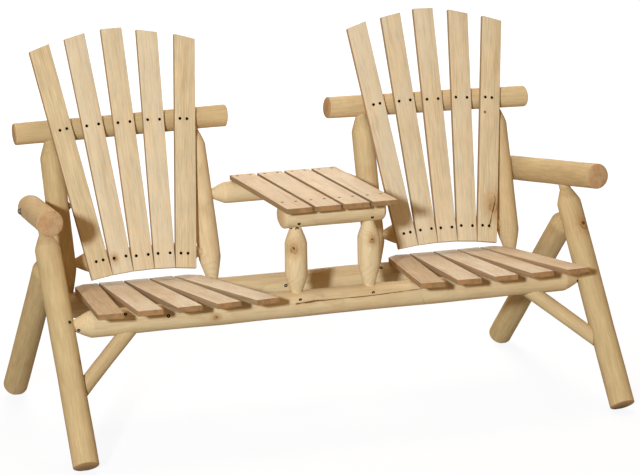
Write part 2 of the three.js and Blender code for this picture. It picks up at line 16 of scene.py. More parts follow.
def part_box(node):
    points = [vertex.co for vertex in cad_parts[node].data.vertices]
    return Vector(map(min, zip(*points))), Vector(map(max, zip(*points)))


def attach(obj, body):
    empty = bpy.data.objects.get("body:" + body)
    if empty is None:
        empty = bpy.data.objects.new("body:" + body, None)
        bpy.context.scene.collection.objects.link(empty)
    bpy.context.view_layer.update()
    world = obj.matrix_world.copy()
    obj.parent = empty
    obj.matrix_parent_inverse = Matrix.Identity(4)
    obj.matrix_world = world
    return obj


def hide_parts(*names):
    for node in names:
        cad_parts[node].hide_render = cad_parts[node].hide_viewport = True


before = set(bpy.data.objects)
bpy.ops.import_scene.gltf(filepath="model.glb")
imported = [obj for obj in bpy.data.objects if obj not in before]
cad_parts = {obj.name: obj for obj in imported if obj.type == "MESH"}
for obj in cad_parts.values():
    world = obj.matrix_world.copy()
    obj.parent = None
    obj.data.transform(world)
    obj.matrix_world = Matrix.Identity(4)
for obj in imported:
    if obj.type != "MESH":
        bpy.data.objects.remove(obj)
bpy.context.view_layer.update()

# %% [markdown]
# # The camera
# A long lens stands to the left of the loveseat, a little above it, and looks down at it slightly. Its
# place was found by matching points of the photograph to points of the frame, so it is written out as one
# place and three directions. It comes first, because every later choice is judged through it.

# %% Camera
def stand(name, data):
    """Puts an object into the scene."""
    made = bpy.data.objects.new(name, data)
    bpy.context.scene.collection.objects.link(made)
    return made


camera_place = Vector((-2.614, -7.605, 2.2845))
camera_right = Vector((0.9432, -0.3318, -0.0148)).normalized()
camera_forward = Vector((0.3208, 0.9219, -0.2172)).normalized()
camera_up = camera_right.cross(camera_forward)

camera = stand("camera", bpy.data.cameras.new("camera"))
camera.data.sensor_width = 36
camera.data.lens = 159.6
turn = Matrix((camera_right, camera_up, -camera_forward)).transposed()
camera.matrix_world = Matrix.Translation(camera_place) @ turn.to_4x4()
bpy.context.scene.camera = camera
print("lens, millimetres:", camera.data.lens)

# %% [markdown]
# # Writing node trees as sums
# Grain, knots and log shapes are all sums of simple fields. Wiring them one node at a time is hard to
# read, so a small class wraps a socket and lets Python's own operators add the Math nodes. The same class
# serves shader trees and geometry trees. Everything that isn't plain arithmetic goes through its one
# `node` method.

# %% A socket that can be added and multiplied
def feed(node, inputs):
    """Gives the sockets of a node their wires or plain values. A list of wires shares one socket."""
    for key, value in inputs.items():
        for wire in value if isinstance(value, list) else [value]:
            if isinstance(wire, Wire):
                wire.tree.links.new(wire.socket, node.inputs[key])
            else:
                node.inputs[key].default_value = wire


class Wire:
    def __init__(self, tree, socket=None):
        self.tree = tree
        self.socket = socket

    def node(self, kind, settings=None, inputs=None, out=0):
        """Adds one node: its settings first, then the values or wires of its sockets."""
        made = self.tree.nodes.new(kind)
        for name, value in (settings or {}).items():
            setattr(made, name, value)
        feed(made, inputs or {})
        return Wire(self.tree, made.outputs[out])

    def maths(self, operation, *values, clamp=False):
        settings = {"operation": operation, "use_clamp": clamp}
        return self.node("ShaderNodeMath", settings, dict(enumerate(values)))

    def __add__(self, other):
        return self.maths("ADD", self, other)

    def __sub__(self, other):
        return self.maths("SUBTRACT", self, other)

    def __rsub__(self, other):
        return self.maths("SUBTRACT", other, self)

    def __mul__(self, other):
        return self.maths("MULTIPLY", self, other)

    def __truediv__(self, other):
        return self.maths("DIVIDE", self, other)

    __radd__ = __add__
    __rmul__ = __mul__

    def vector(self, x, y, z):
        return self.node("ShaderNodeCombineXYZ", inputs={0: x, 1: y, 2: z})

    def parts(self):
        """The X, Y and Z of a vector."""
        split = self.node("ShaderNodeSeparateXYZ", inputs={0: self}).socket.node
        return [Wire(self.tree, output) for output in split.outputs]

    def length(self):
        return self.node("ShaderNodeVectorMath", {"operation": "LENGTH"}, {0: self}, out="Value")

    def unit(self):
        return self.node("ShaderNodeVectorMath", {"operation": "NORMALIZE"}, {0: self})

    def noise(self, scale=1.0, detail=3.0, rough=0.5, seed=None, out=0):
        """Noise at this place. A seed makes it another noise."""
        values = {"Vector": self, "Scale": scale, "Detail": detail, "Roughness": rough}
        if seed:
            values["W"] = seed
        settings = {"noise_dimensions": "4D" if seed else "3D"}
        return self.node("ShaderNodeTexNoise", settings, values, out)

    def eased(self, low, high, to_low=0.0, to_high=1.0, curve="LINEAR"):
        """This value, moved from one range to another and held at its ends."""
        values = {"Value": self, "From Min": low, "From Max": high, "To Min": to_low, "To Max": to_high}
        return self.node("ShaderNodeMapRange", {"interpolation_type": curve, "clamp": True}, values)

    def mixed(self, first, second, share, blend="MIX"):
        """A colour between two others."""
        settings = {"data_type": "RGBA", "blend_type": blend}
        return self.node("ShaderNodeMix", settings, {0: share, 6: first, 7: second}, out=2)


# %% [markdown]
# # Trees that grow pieces
# A tree of geometry nodes is written once and runs for many pieces, with other sizes each time. So its
# sizes are named inputs. What it makes is kept as a plain mesh, and the tree is taken off again.

# %% Trees with named inputs
SHARP_FROM = math.radians(32)


def new_tree(name, sizes):
    """A geometry tree, a wire for its nodes, and the wires of its named inputs. sizes gives each of these a
    first value, or else the kind of its socket."""
    tree = bpy.data.node_groups.new(name, "GeometryNodeTree")
    tree.interface.new_socket("Geometry", in_out="OUTPUT", socket_type="NodeSocketGeometry")
    for label, value in sizes.items():
        is_kind = isinstance(value, str)
        kind = value if is_kind else type(value).__name__.title()
        socket = tree.interface.new_socket(label, in_out="INPUT", socket_type=f"NodeSocket{kind}")
        if not is_kind:
            socket.default_value = value
    start = tree.nodes.new("NodeGroupInput")
    wires = {label: Wire(tree, start.outputs[label]) for label in sizes}
    return tree, Wire(tree), wires


def moved(shape, **how):
    """Sets every point's Position, or adds an Offset to it."""
    return shape.node("GeometryNodeSetPosition", inputs={"Geometry": shape, **how})


def placed(shape, **how):
    """Moves a whole shape by a Translation and a Rotation."""
    return shape.node("GeometryNodeTransform", inputs={"Geometry": shape, **how})


def finish_tree(tree, shape, material):
    """Ends a tree: instances become real, the material is set and the result goes out."""
    real = shape.node("GeometryNodeRealizeInstances", inputs={0: shape})
    dressed = real.node("GeometryNodeSetMaterial", inputs={"Geometry": real, "Material": material})
    feed(tree.nodes.new("NodeGroupOutput"), {0: dressed})


def grown(name, tree, values, start=None):
    """Runs a tree with its named inputs and keeps what it makes as a plain mesh."""
    piece = bpy.data.objects.new(name, start or bpy.data.meshes.new(name))
    bpy.context.scene.collection.objects.link(piece)
    modifier = piece.modifiers.new(tree.name, "NODES")
    modifier.node_group = tree
    for item in tree.interface.items_tree:
        if item.in_out == "INPUT" and item.name in values:
            modifier[item.identifier] = values[item.name]
    ready = bpy.context.evaluated_depsgraph_get()
    shape = bpy.data.meshes.new_from_object(piece.evaluated_get(ready), preserve_all_data_layers=True,
                                            depsgraph=ready)
    piece.modifiers.remove(modifier)
    piece.data = shape
    shape.name = name
    shape.set_sharp_from_angle(angle=SHARP_FROM)
    return piece


# %% [markdown]
# # Pine that knows where it was cut from
# Bare pine shows its growth rings: lines along a board, long islands on a peeled log, arcs on a sawn end.
# A flat picture of grain would show the wrong figure on one of those. So every piece carries a few facts
# about each of its points, and one solid pattern is cut by all of them. `grain` is the place in the uncut
# wood, measured from the pith with Z along the fibres. `knot` is the way to the nearest knot, in knot
# sizes. `check` is how far a drying crack is, in half-widths of the crack. `tone` is how pale the piece
# is, and `sawn` marks the cut ends; on boards it also marks the narrow edges, which take painted shade in
# the colour of a sawn end.

# %% The pine material
WOOD_GLOSS = 0.1


def colour(red, green, blue):
    """A colour written as it looks on screen, turned to the linear values that nodes use."""
    screen = np.array((red, green, blue)) / 255
    return (*np.where(screen <= 0.04045, screen / 12.92, ((screen + 0.055) / 1.055) ** 2.4), 1)


def new_material(name):
    """A material, its shader, and a wire from which its other nodes are made."""
    material = bpy.data.materials.new(name)
    material.use_nodes = True
    return material, material.node_tree.nodes["Principled BSDF"], Wire(material.node_tree)


def pine(name, shades, ring_width, ring_share, wander_reach, streak_share):
    """Pale wood. Its shades are plain and pale wood, between which a piece's tone lies, the hard part of a
    ring, the drift from place to place, and a sawn end, whose colour also paints shade on the narrow edges
    of boards. Its rings wander by wander_reach metres."""
    material, shader, new = new_material(name)
    plain, pale, late, tint, end = (colour(*shade) for shade in shades)
    mixed = new.mixed

    def fact(attribute, out="Vector"):
        return new.node("ShaderNodeAttribute", {"attribute_name": attribute}, out=out)

    def noise(place, scale=1.0, detail=3.0):
        return place.noise(scale, detail, rough=0.55)

    def shaded(body, grey):
        return mixed(body, new.vector(grey, grey, grey), 1.0, "MULTIPLY")

    across, through, along = fact("grain").parts()
    tone, cut_end_and_edge_shade, check = (fact(attribute, "Fac") for attribute in ("tone", "sawn", "check"))
    apart = tone * 7.0

    def stretched(per_metre, lengthwise):
        """Noise whose grains are that many to the metre across the fibres and along them."""
        return noise(new.vector(across * per_metre + apart, through * per_metre, along * lengthwise))

    # rings round the pith, which wander a little and bend round knots
    knot_way = fact("knot")
    knot_far = knot_way.length()
    wander = stretched(5.5, 2.0)
    flutter = stretched(24.0, 3.0)
    knot_push = new.maths("EXPONENT", knot_far * knot_far * -0.16)
    from_pith = new.maths("SQRT", across * across + through * through)
    ring_place = from_pith + wander * wander_reach + flutter * 0.0022 + knot_push * 0.005
    late_wood = new.node("ShaderNodeValToRGB", inputs={0: new.maths("FRACT", ring_place / ring_width)})
    ramp = late_wood.socket.node.color_ramp
    stops = ((0.0, 0.0), (0.45, 0.12), (0.8, 0.6), (0.93, 1.0), (1.0, 0.0))
    while len(ramp.elements) < len(stops):
        ramp.elements.new(1)
    for element, (place, grey) in zip(ramp.elements, stops):
        element.position = place
        element.color = (grey, grey, grey, 1)

    # fibres: fine ones for close views, streaks that show from a step away, and slow drifts
    fibre = stretched(840.0, 30.0)
    streak = stretched(250.0, 15.0)
    band = stretched(60.0, 4.5)
    drift = stretched(9.0, 4.0)
    blotch = stretched(26.0, 16.0)
    body = mixed(plain, pale, tone)
    body = mixed(body, late, late_wood * ring_share * flutter.eased(0.3, 0.7, 0.4, 1.1))
    body = mixed(body, tint, drift.eased(0.45, 0.68) * 0.55)
    body = mixed(body, late, band.eased(0.52, 0.72) * 0.40)
    body = mixed(body, tint, streak.eased(0.5, 0.66) * streak_share)
    bright = fibre.eased(0.25, 0.75, 0.93, 1.05) * streak.eased(0.3, 0.7, 1 - streak_share * 0.26, 1.06)
    body = shaded(body, bright * blotch.eased(0.3, 0.7, 0.955, 1.04))

    # sawn ends are darker and rougher, with clear rings and small checks that run out from the pith; the
    # dark lines of the checks are painted shade inside them
    spoke = noise(new.vector(across, through, 0.0).unit(), 3.2, 2.0)
    spoke_near = new.maths("ABSOLUTE", spoke - 0.5) * from_pith
    star_check_shade = spoke_near.eased(0.0, 0.0005, 1.0, 0.0) * from_pith.eased(0.006, 0.018, 1.0, 0.0)
    saw_mark = noise(new.vector(across * 240.0, through * 50.0, along))
    end_patch = noise(new.vector(across * 40.0, through * 40.0, apart), 1.0, 2.0)
    end_colour_and_edge_shade = mixed(end, colour(186, 134, 90), end_patch.eased(0.44, 0.56) * 0.6)
    end_colour_and_edge_shade = shaded(end_colour_and_edge_shade, 1 - late_wood * 0.3 - saw_mark.eased(0.45, 0.75) * 0.15 - star_check_shade * 0.15)
    # sawn ends take this darker end colour, and so do the narrow edges of boards, as painted shade between
    # neighbouring boards
    body = mixed(body, end_colour_and_edge_shade, cut_end_and_edge_shade)

    # knots: a ragged heart a little darker than the wood, a broken rim, a dark core and a warm halo
    ragged = noise(knot_way, 1.5)
    reach = knot_far + (ragged - 0.5) * 1.3
    halo = reach.eased(0.8, 2.8, 0.55, 0.0, "SMOOTHSTEP")
    heart = reach.eased(0.7, 1.1, 1.0, 0.0, "SMOOTHSTEP")
    rim = reach.eased(0.6, 0.85, 0.0, 1.0, "SMOOTHSTEP") * reach.eased(0.9, 1.15, 1.0, 0.0, "SMOOTHSTEP")
    one_side = knot_way.parts()[2].eased(-0.3, 0.5, 1.0, 0.2)
    broken_rim = rim * ragged.eased(0.4, 0.55, 0.2, 0.9) * one_side
    core = reach.eased(0.22, 0.5, 1.0, 0.0, "SMOOTHSTEP")
    body = mixed(body, colour(174, 132, 82), halo)
    body = mixed(body, colour(172, 124, 78), heart * 0.45)
    body = mixed(body, colour(74, 48, 28), new.maths("MAXIMUM", broken_rim * 0.6, core * 0.85))

    # drying cracks: a thin dark line that comes and goes, between darker lips; the line is painted
    # shade, standing for the inside of the open crack
    torn = noise(new.vector(across * 30.0, through * 30.0, along * 34.0), 1.0, 4.0)
    off_line = new.maths("ABSOLUTE", check + (torn - 0.5) * 1.4)
    crack = new.maths("SUBTRACT", 1.0, off_line / torn.eased(0.36, 0.52, 0.45, 1.2), clamp=True)
    lips = new.maths("SUBTRACT", 1.0, off_line / 3.0, clamp=True)
    body = mixed(body, late, lips * 0.5)
    body = mixed(body, colour(84, 50, 18), new.maths("POWER", crack, 0.4))

    rough = late_wood.eased(0, 1, 0.76, 0.66) + cut_end_and_edge_shade * 0.1 + (fibre - 0.5) * 0.12
    height = fibre * 0.4 + streak * 0.5 + late_wood * 0.3 * (1 - cut_end_and_edge_shade) + saw_mark * cut_end_and_edge_shade * 1.6
    height = height + heart * 0.6 - core * 0.8 - crack * 1.2 - star_check_shade * cut_end_and_edge_shade * 0.4
    bump = new.node("ShaderNodeBump", inputs={"Strength": 0.4, "Distance": 0.0006, "Height": height})
    feed(shader, {"Base Color": body, "Roughness": rough, "Normal": bump, "Specular IOR Level": WOOD_GLOSS})
    return material


log_pine = pine(
    "peeled log pine", ((190, 164, 118), (222, 196, 154), (180, 148, 102), (208, 176, 131), (194, 158, 116)),
    ring_width=0.0042, ring_share=0.36, wander_reach=0.024, streak_share=0.38)
back_pine = pine(
    "back board pine", ((210, 186, 144), (226, 208, 178), (192, 160, 114), (216, 186, 144), (172, 140, 98)),
    ring_width=0.0030, ring_share=0.60, wander_reach=0.010, streak_share=0.75)
seat_pine = pine(
    "seat board pine", ((194, 163, 122), (247, 234, 210), (180, 149, 112), (206, 176, 140), (152, 119, 80)),
    ring_width=0.0032, ring_share=0.50, wander_reach=0.012, streak_share=0.70)
print("pine materials:", [material.name for material in (log_pine, back_pine, seat_pine)])

# %% [markdown]
# # Telling each point where it lies in the wood
# The facts are written after a piece is whole, from the place that its own axes give. A knot is a point
# on the surface, with the direction in which its branch grew, and everything along that direction counts
# less, so it cuts through a board as a cone does. Far from any knot the fact is a large plain number, so
# nothing shows there.

# %% Grain, knots and cracks as attributes
FAR = 9.0
KNOT_REACH = 5.0
BRANCH_SHARE = 0.75
KNOT_SQUASH = 0.75
MOSTLY = 0.6


def write_fact(mesh, name, values, domain="POINT"):
    """Writes a number or a vector for each point or face of a mesh."""
    kind, field = ("FLOAT_VECTOR", "vector") if values.ndim == 2 else ("FLOAT", "value")
    layer = mesh.attributes.new(name, kind, domain)
    layer.data.foreach_set(field, np.ascontiguousarray(values).ravel())


def own_points(piece, place):
    """The piece's points in its own axes."""
    points = np.empty(len(piece.data.vertices) * 3)
    piece.data.vertices.foreach_get("co", points)
    return (points.reshape(-1, 3) - np.array(place.translation)) @ np.array(place.to_3x3())


def tell_wood(piece, place, pith, tone, knots=(), crack=None, sawn=1.0, edge_shade=0.0):
    """place turns the piece's own axes, with Z along the fibres, to the room. pith is where the log's heart
    lay. A knot is (point, branch direction, size, blur), in the piece's own axes, and a crack is a function
    of those points. Between two knots no point follows either, so only a piece with one knot may have widely
    spaced points. sawn is how rough and dark the ends are. The last argument sets how rough the narrow edges
    are and how dark they are, with painted shade in the colour of a sawn end."""
    mesh = piece.data
    own = own_points(piece, place)
    write_fact(mesh, "grain", own + np.array((*pith, 0.0)))
    nearest = np.full(own.shape, FAR)
    bound = np.full(len(own), KNOT_REACH if len(knots) > 1 else math.inf)
    for centre, branch, size, blur in knots:
        away = own - np.array(centre)
        branch = np.array(Vector(branch).normalized())
        away = (away - np.outer(away @ branch * BRANCH_SHARE, branch)) / size
        away[:, 2] *= KNOT_SQUASH
        far = np.linalg.norm(away, axis=1)
        closer = far < bound
        bound[closer] = far[closer]
        nearest[closer] = (away + branch * blur)[closer]
    write_fact(mesh, "knot", nearest)
    write_fact(mesh, "check", crack(own) if crack else np.full(len(own), FAR))
    write_fact(mesh, "tone", np.full(len(own), tone))
    facing = np.empty(len(mesh.polygons) * 3)
    mesh.polygons.foreach_get("normal", facing)
    sideways, _, lengthwise = np.abs(facing.reshape(-1, 3) @ np.array(place.to_3x3())).T
    # on the narrow edges of boards the value is painted shade, kept in the same attribute as the sawn ends
    write_fact(mesh, "sawn", np.where(lengthwise > MOSTLY, sawn, (sideways > MOSTLY) * edge_shade), "FACE")


# %% [markdown]
# # The logs
# Each log was peeled, sanded and sharpened like a pencil where it goes into another, with a round tenon
# beyond the point. A lathe outline would give a perfect bar, and sculpting each log by hand would take
# days. A geometry tree with the sizes as inputs makes them all. Rings of points follow a line, closer
# together near both ends, and their radius follows the two ends: straight for a pencil point, bulging for
# the sanded rim of a sawn end. The butt is a little thicker than the top, as a tree is, and noise makes
# the log slightly crooked and slightly out of round.

# %% The log tree
NEVER_PLANED = 10.0
LOG_SIZES = {
    "Length": 1.0, "Radius": 0.037, "Rings": 200, "Sides": 64,
    "Start Tenon": 0.0, "Start Tip": 0.0345, "Start Taper": 0.0025, "Start Bulge": 1.15,
    "End Tenon": 0.0, "End Tip": 0.0345, "End Taper": 0.0025, "End Bulge": 1.15,
    "Butt Swell": 0.0, "Crook": 0.0015, "Unevenness": 0.0016, "Seed": 0.0,
    "Floor": -1.0, "Planed Height": NEVER_PLANED,
    "Place": "Vector", "Turn": "Rotation", "Material": "Material",
}


def rings_along(new, length, count, crowding):
    """Points along a line, how far along each is as a share, and its run once both ends are crowded."""
    line = new.node("GeometryNodeCurvePrimitiveLine", inputs={"End": new.vector(0, 0, length)})
    rings = new.node("GeometryNodeResampleCurve", inputs={"Curve": line, "Count": count})
    share = new.node("GeometryNodeSplineParameter", out="Factor")
    crowded = share - new.maths("SINE", share * math.tau) * (crowding / math.tau)
    return rings, share, crowded * length


def log_tree():
    tree, new, size = new_tree("peeled log", LOG_SIZES)
    length = size["Length"]
    rings, share, run = rings_along(new, length, size["Rings"], crowding=0.93)
    sway = new.maths("SINE", share * math.pi) * size["Crook"] * 2
    bend_x, bend_y, _ = new.vector(size["Seed"], 0, run).noise(3.0, 1.0, out="Color").parts()
    bent = moved(rings, Position=new.vector((bend_x - 0.5) * sway, (bend_y - 0.5) * sway, run))
    place = new.node("GeometryNodeInputPosition")
    across, through, along = place.parts()
    swollen = size["Radius"] * (1 + (0.5 - along / length) * size["Butt Swell"])

    def end_radius(end, run_in):
        """The radius near one end, from its tip to the full log."""
        left = 1 - run_in.eased(size[f"{end} Tenon"], size[f"{end} Tenon"] + size[f"{end} Taper"])
        bulged = 1 - new.maths("POWER", left, size[f"{end} Bulge"])
        return size[f"{end} Tip"] + (swollen - size[f"{end} Tip"]) * bulged

    radius = new.maths("MINIMUM", end_radius("Start", along), end_radius("End", length - along))
    circle = new.node("GeometryNodeCurvePrimitiveCircle", inputs={"Resolution": size["Sides"], "Radius": 1.0})
    skin = new.node("GeometryNodeCurveToMesh",
                    inputs={"Curve": bent, "Profile Curve": circle, "Scale": radius, "Fill Caps": True})
    lumps = new.vector(across * 16, through * 16, along * 6).noise(seed=size["Seed"])
    swell = (lumps - 0.55) * size["Unevenness"] * 2
    outward = new.vector(across, through, 0).unit()
    offset = new.node("ShaderNodeVectorMath", {"operation": "SCALE"}, {0: outward, "Scale": swell})
    laid = placed(moved(skin, Offset=offset), Translation=size["Place"], Rotation=size["Turn"])
    x, y, z = place.parts()
    level = new.maths("MINIMUM", new.maths("MAXIMUM", z, size["Floor"]), size["Planed Height"])
    finish_tree(tree, moved(laid, Position=new.vector(x, y, level)), size["Material"])
    return tree


log_nodes = log_tree()
print("log tree has", len(log_nodes.nodes), "nodes")

# %% [markdown]
# # Where the logs lie
# A log is written by the joint centres that it runs between and by what each of its ends is: a `tip` with
# a tenon beyond its taper, or a `sawn_end` that runs past the joint. Only the right-hand half of the
# loveseat is listed, because the left-hand half is its mirror image. The knots are listed by the side
# that they are on.

# %% Log ends and log list
SIDES = (("left", -1), ("right", 1))
FRONT, REAR = -0.20013, 0.12687
RAIL_RADIUS, BEARER_RADIUS, LEG_RADIUS = 0.0375, 0.037, 0.0361
UPRIGHT_RADIUS, TOP_RAIL_RADIUS = 0.033, 0.0322
RAIL_SKIN, BEARER_SKIN, LEG_SKIN = 0.0378, 0.0373, 0.0373
UPRIGHT_SKIN, TOP_RAIL_SKIN = 0.0333, 0.0325


def mirrored(point, hand):
    return (hand * point[0], point[1], point[2])


def tip(radius, taper, seat, tenon):
    """A pencil taper from its seat, a distance from the joint centre, with a tenon that goes on inward."""
    return {"Tip": radius, "Taper": taper, "Tenon": tenon, "Bulge": 1.15, "start": seat - tenon}


def sawn_end(radius, reach=0.0, ease=0.003):
    """A square end that runs past the joint centre, with its rim sanded round."""
    return {"Tip": radius - ease, "Taper": ease, "Tenon": 0.0, "Bulge": 2.2, "start": -reach}


RAIL_TIP = tip(0.017, 0.046, LEG_SKIN, 0.030)
UPRIGHT_FOOT = tip(0.017, 0.064, RAIL_SKIN, 0.028)
UPRIGHT_TOP = tip(0.017, 0.045, TOP_RAIL_SKIN, 0.028)
LOW_TIP = tip(0.014, 0.038, UPRIGHT_SKIN, 0.022)
BEARER_TIP = tip(0.015, 0.040, UPRIGHT_SKIN, 0.024)
BEARER_END = sawn_end(BEARER_RADIUS, ease=0.011)
TOP_RAIL_END = sawn_end(TOP_RAIL_RADIUS, ease=0.004)
BRACE_END = sawn_end(0.022, ease=0.0)
POST_FOOT = tip(0.0165, 0.064, RAIL_SKIN, 0.026)
POST_TOP = tip(0.0165, 0.0439, BEARER_SKIN, 0.026)

# a whole log is written by its right-hand joint, its radius and both of its ends
WHOLE_LOGS = {
    "front_rail": ((0.796, FRONT, 0.353), RAIL_RADIUS, RAIL_TIP),
    "rear_rail": ((0.791, REAR, 0.331), RAIL_RADIUS, RAIL_TIP),
    "table_front_bearer": ((0.155, FRONT, 0.6127), BEARER_RADIUS, BEARER_END),
    "table_rear_bearer": ((0.2604, 0.21474, 0.6037), 0.032, BEARER_TIP),
}
SIDE_LOGS = {
    "front_leg": ((0.79892, -0.43538, 0.01828), (0.79362, -0.00826, 0.626), LEG_RADIUS,
                  sawn_end(LEG_RADIUS), tip(0.017, 0.045, 0.0533, 0.034)),
    "rear_leg": ((0.78566, 0.44004, 0.0234), (0.79446, -0.07573, 0.53), LEG_RADIUS,
                 sawn_end(LEG_RADIUS), tip(0.017, 0.036, 0.04061, 0.028)),
    "leg_brace": ((0.582, -0.18868, 0.34495), (0.79753, -0.31173, 0.16987), 0.022, BRACE_END, BRACE_END),
    "inner_upright": ((0.2535, REAR, 0.331), (0.26586, 0.28427, 0.81949), UPRIGHT_RADIUS,
                      UPRIGHT_FOOT, UPRIGHT_TOP),
    "outer_upright": ((0.6905, REAR, 0.331), (0.69593, 0.28233, 0.81348), UPRIGHT_RADIUS,
                      UPRIGHT_FOOT, UPRIGHT_TOP),
    "top_rail": ((0.1585, 0.28422, 0.82132), (0.7985, 0.28111, 0.81223), TOP_RAIL_RADIUS,
                 TOP_RAIL_END, TOP_RAIL_END),
    "low_back_rail": ((0.25644, 0.15491, 0.44733), (0.69181, 0.15491, 0.44733), 0.031, LOW_TIP, LOW_TIP),
    "arm": ((0.79362, -0.00826, 0.626), (0.76447, 0.21355, 0.6), 0.037,
            sawn_end(0.037, reach=0.207, ease=0.006), sawn_end(0.037, reach=0.093, ease=0.006)),
    "table_post": ((0.11, FRONT, 0.353), (0.11, FRONT, 0.6127), 0.0324, POST_FOOT, POST_TOP),
}

logs = {name: (mirrored(end, -1), end, radius, ending, ending)
        for name, (end, radius, ending) in WHOLE_LOGS.items()}
for name, (start, end, *rest) in SIDE_LOGS.items():
    for side, hand in SIDES:
        logs[f"{name}_{side}"] = (mirrored(start, hand), mirrored(end, hand), *rest)
print("logs:", len(logs))

# %% Knots, cracks and tones of the logs
# A knot is written as a point of the room on the log's surface, and its size.
LOG_KNOTS = {
    "front_rail": [((-0.3605, -0.2372, 0.3475), 0.007), ((0.31, -0.168, 0.337), 0.010),
                   ((-0.05, -0.175, 0.325), 0.009)],
    "rear_rail": [((-0.45, 0.16, 0.345), 0.011), ((0.12, 0.163, 0.338), 0.009),
                  ((0.55, 0.16, 0.32), 0.010)],
    "table_post_right": [((0.1094, -0.2325, 0.527), 0.0085)],
    "table_post_left": [((-0.1252, -0.2288, 0.5206), 0.0115)],
    "front_leg_right": [((0.8083, -0.1409, 0.4973), 0.015), ((0.83, -0.27, 0.2), 0.008)],
    "front_leg_left": [((-0.77, -0.28, 0.27), 0.007)],
    "rear_leg_left": [((-0.80, 0.36, 0.20), 0.010)],
    "rear_leg_right": [((0.76, 0.36, 0.16), 0.010), ((0.8, 0.22, 0.30), 0.008)],
    "top_rail_left": [((-0.33, 0.315, 0.825), 0.010), ((-0.62, 0.3, 0.84), 0.008)],
    "top_rail_right": [((0.55, 0.315, 0.815), 0.010), ((0.23, 0.305, 0.80), 0.008)],
    "arm_right": [((0.84, -0.05, 0.60), 0.009)],
    "inner_upright_left": [((-0.255, 0.23, 0.55), 0.009)],
    "inner_upright_right": [((0.26, 0.25, 0.62), 0.010)],
    "outer_upright_left": [((-0.69, 0.24, 0.60), 0.009)],
    "outer_upright_right": [((0.70, 0.22, 0.52), 0.008)],
    "table_rear_bearer": [((0.07, 0.24, 0.585), 0.008)],
}
LOG_TONES = {
    "front_rail": 0.85, "rear_rail": 0.8, "table_front_bearer": 1.0, "table_rear_bearer": 1.0,
    "front_leg_left": 0.15, "front_leg_right": 0.1, "rear_leg_left": 0.0, "rear_leg_right": 0.0,
    "inner_upright_left": 0.9, "outer_upright_left": 0.0, "top_rail_left": 0.15, "top_rail_right": 0.5,
    "arm_right": 0.1, "table_post_left": 0.95, "table_post_right": 1.0,
}
NO_CRACK = 0.000001


def rail_crack(runs, heights, widths):
    """A crack along a rail, by its heights above the front line, in radians, and its half-widths."""
    def off(own):
        rise = np.arctan2(own[:, 1], -own[:, 0]) - np.interp(own[:, 2], runs, heights)
        half_width = np.interp(own[:, 2], runs, widths, left=NO_CRACK, right=NO_CRACK)
        return ((rise + math.pi) % math.tau - math.pi) * RAIL_RADIUS / half_width
    return off


LOG_CRACKS = {"front_rail": rail_crack(
    runs=(0.655, 0.665, 0.690, 0.725, 0.750, 0.900, 0.985, 1.035, 1.055),
    heights=(0.27, 0.255, 0.29, 0.36, 0.335, 0.345, 0.425, 0.475, 0.49),
    widths=(0.0004, 0.0026, 0.0026, 0.0026, 0.0013, 0.0013, 0.0012, 0.0010, 0.0001))}


# %% [markdown]
# # Growing the logs
# The tree runs once for each log. Every log has its own seed, so no two have the same shape or figure,
# and the feet are dressed flat where they stand on the floor. The braces have no points: their ends are
# coped, so each line along a brace stops where it meets the rail or the leg. That is worked out point by
# point, which leaves no rough edge as a boolean would.

# %% Grow every log
RING_STEP, FEWEST_RINGS, SEED_STEP = 0.005, 24, 3.7
PLANED_HEIGHT = 0.6357
SHORT_POINT = 0.046
PITH_DRIFT = 0.006
UPRIGHT = 0.01


def own_axes(start, direction):
    """A place with Z along a direction and X as level as it can be."""
    along = Vector(direction).normalized()
    level = Vector((0, 0, 1)).cross(along)
    if level.length < UPRIGHT:
        level = Vector((1, 0, 0))
    level.normalize()
    turn = Matrix((level, along.cross(level), along)).transposed()
    return Matrix.Translation(start) @ turn.to_4x4()


def meets(points, direction, host, host_radius):
    """How far each point travels along a direction until it leaves a round log."""
    start, end = (np.array(point) for point in host)
    axis = (end - start) / np.linalg.norm(end - start)
    away = points - start
    away = away - np.outer(away @ axis, axis)
    aside = direction - axis * (direction @ axis)
    a, b = aside @ aside, away @ aside
    c = (away * away).sum(1) - host_radius ** 2
    return (-b + np.sqrt(np.maximum(b * b - a * c, 0.0))) / a


def cope_brace(piece, place, length, side):
    """Moves every point of a brace along it, so that it runs from the rail's skin to the leg's."""
    own = own_points(piece, place)
    turn, origin = np.array(place.to_3x3()), np.array(place.translation)
    direction = turn[:, 2]
    at_start = own * (1, 1, 0) @ turn.T + origin
    at_end = at_start + direction * length
    low = meets(at_start, direction, logs["front_rail"][:2], RAIL_SKIN)
    high = length - meets(at_end, -direction, logs[f"front_leg_{side}"][:2], LEG_SKIN)
    runs = low + (high - low) * np.clip(own[:, 2] / length, 0, 1)
    points = at_start + np.outer(runs, direction)
    piece.data.vertices.foreach_set("co", points.ravel())
    piece.data.update()


def off_box(piece, node):
    """How far a piece's box is from its node's, in millimetres."""
    low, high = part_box(node)
    corners = np.array([vertex.co for vertex in piece.data.vertices])
    return max(np.abs(corners.min(0) - low).max(), np.abs(corners.max(0) - high).max()) * 1000


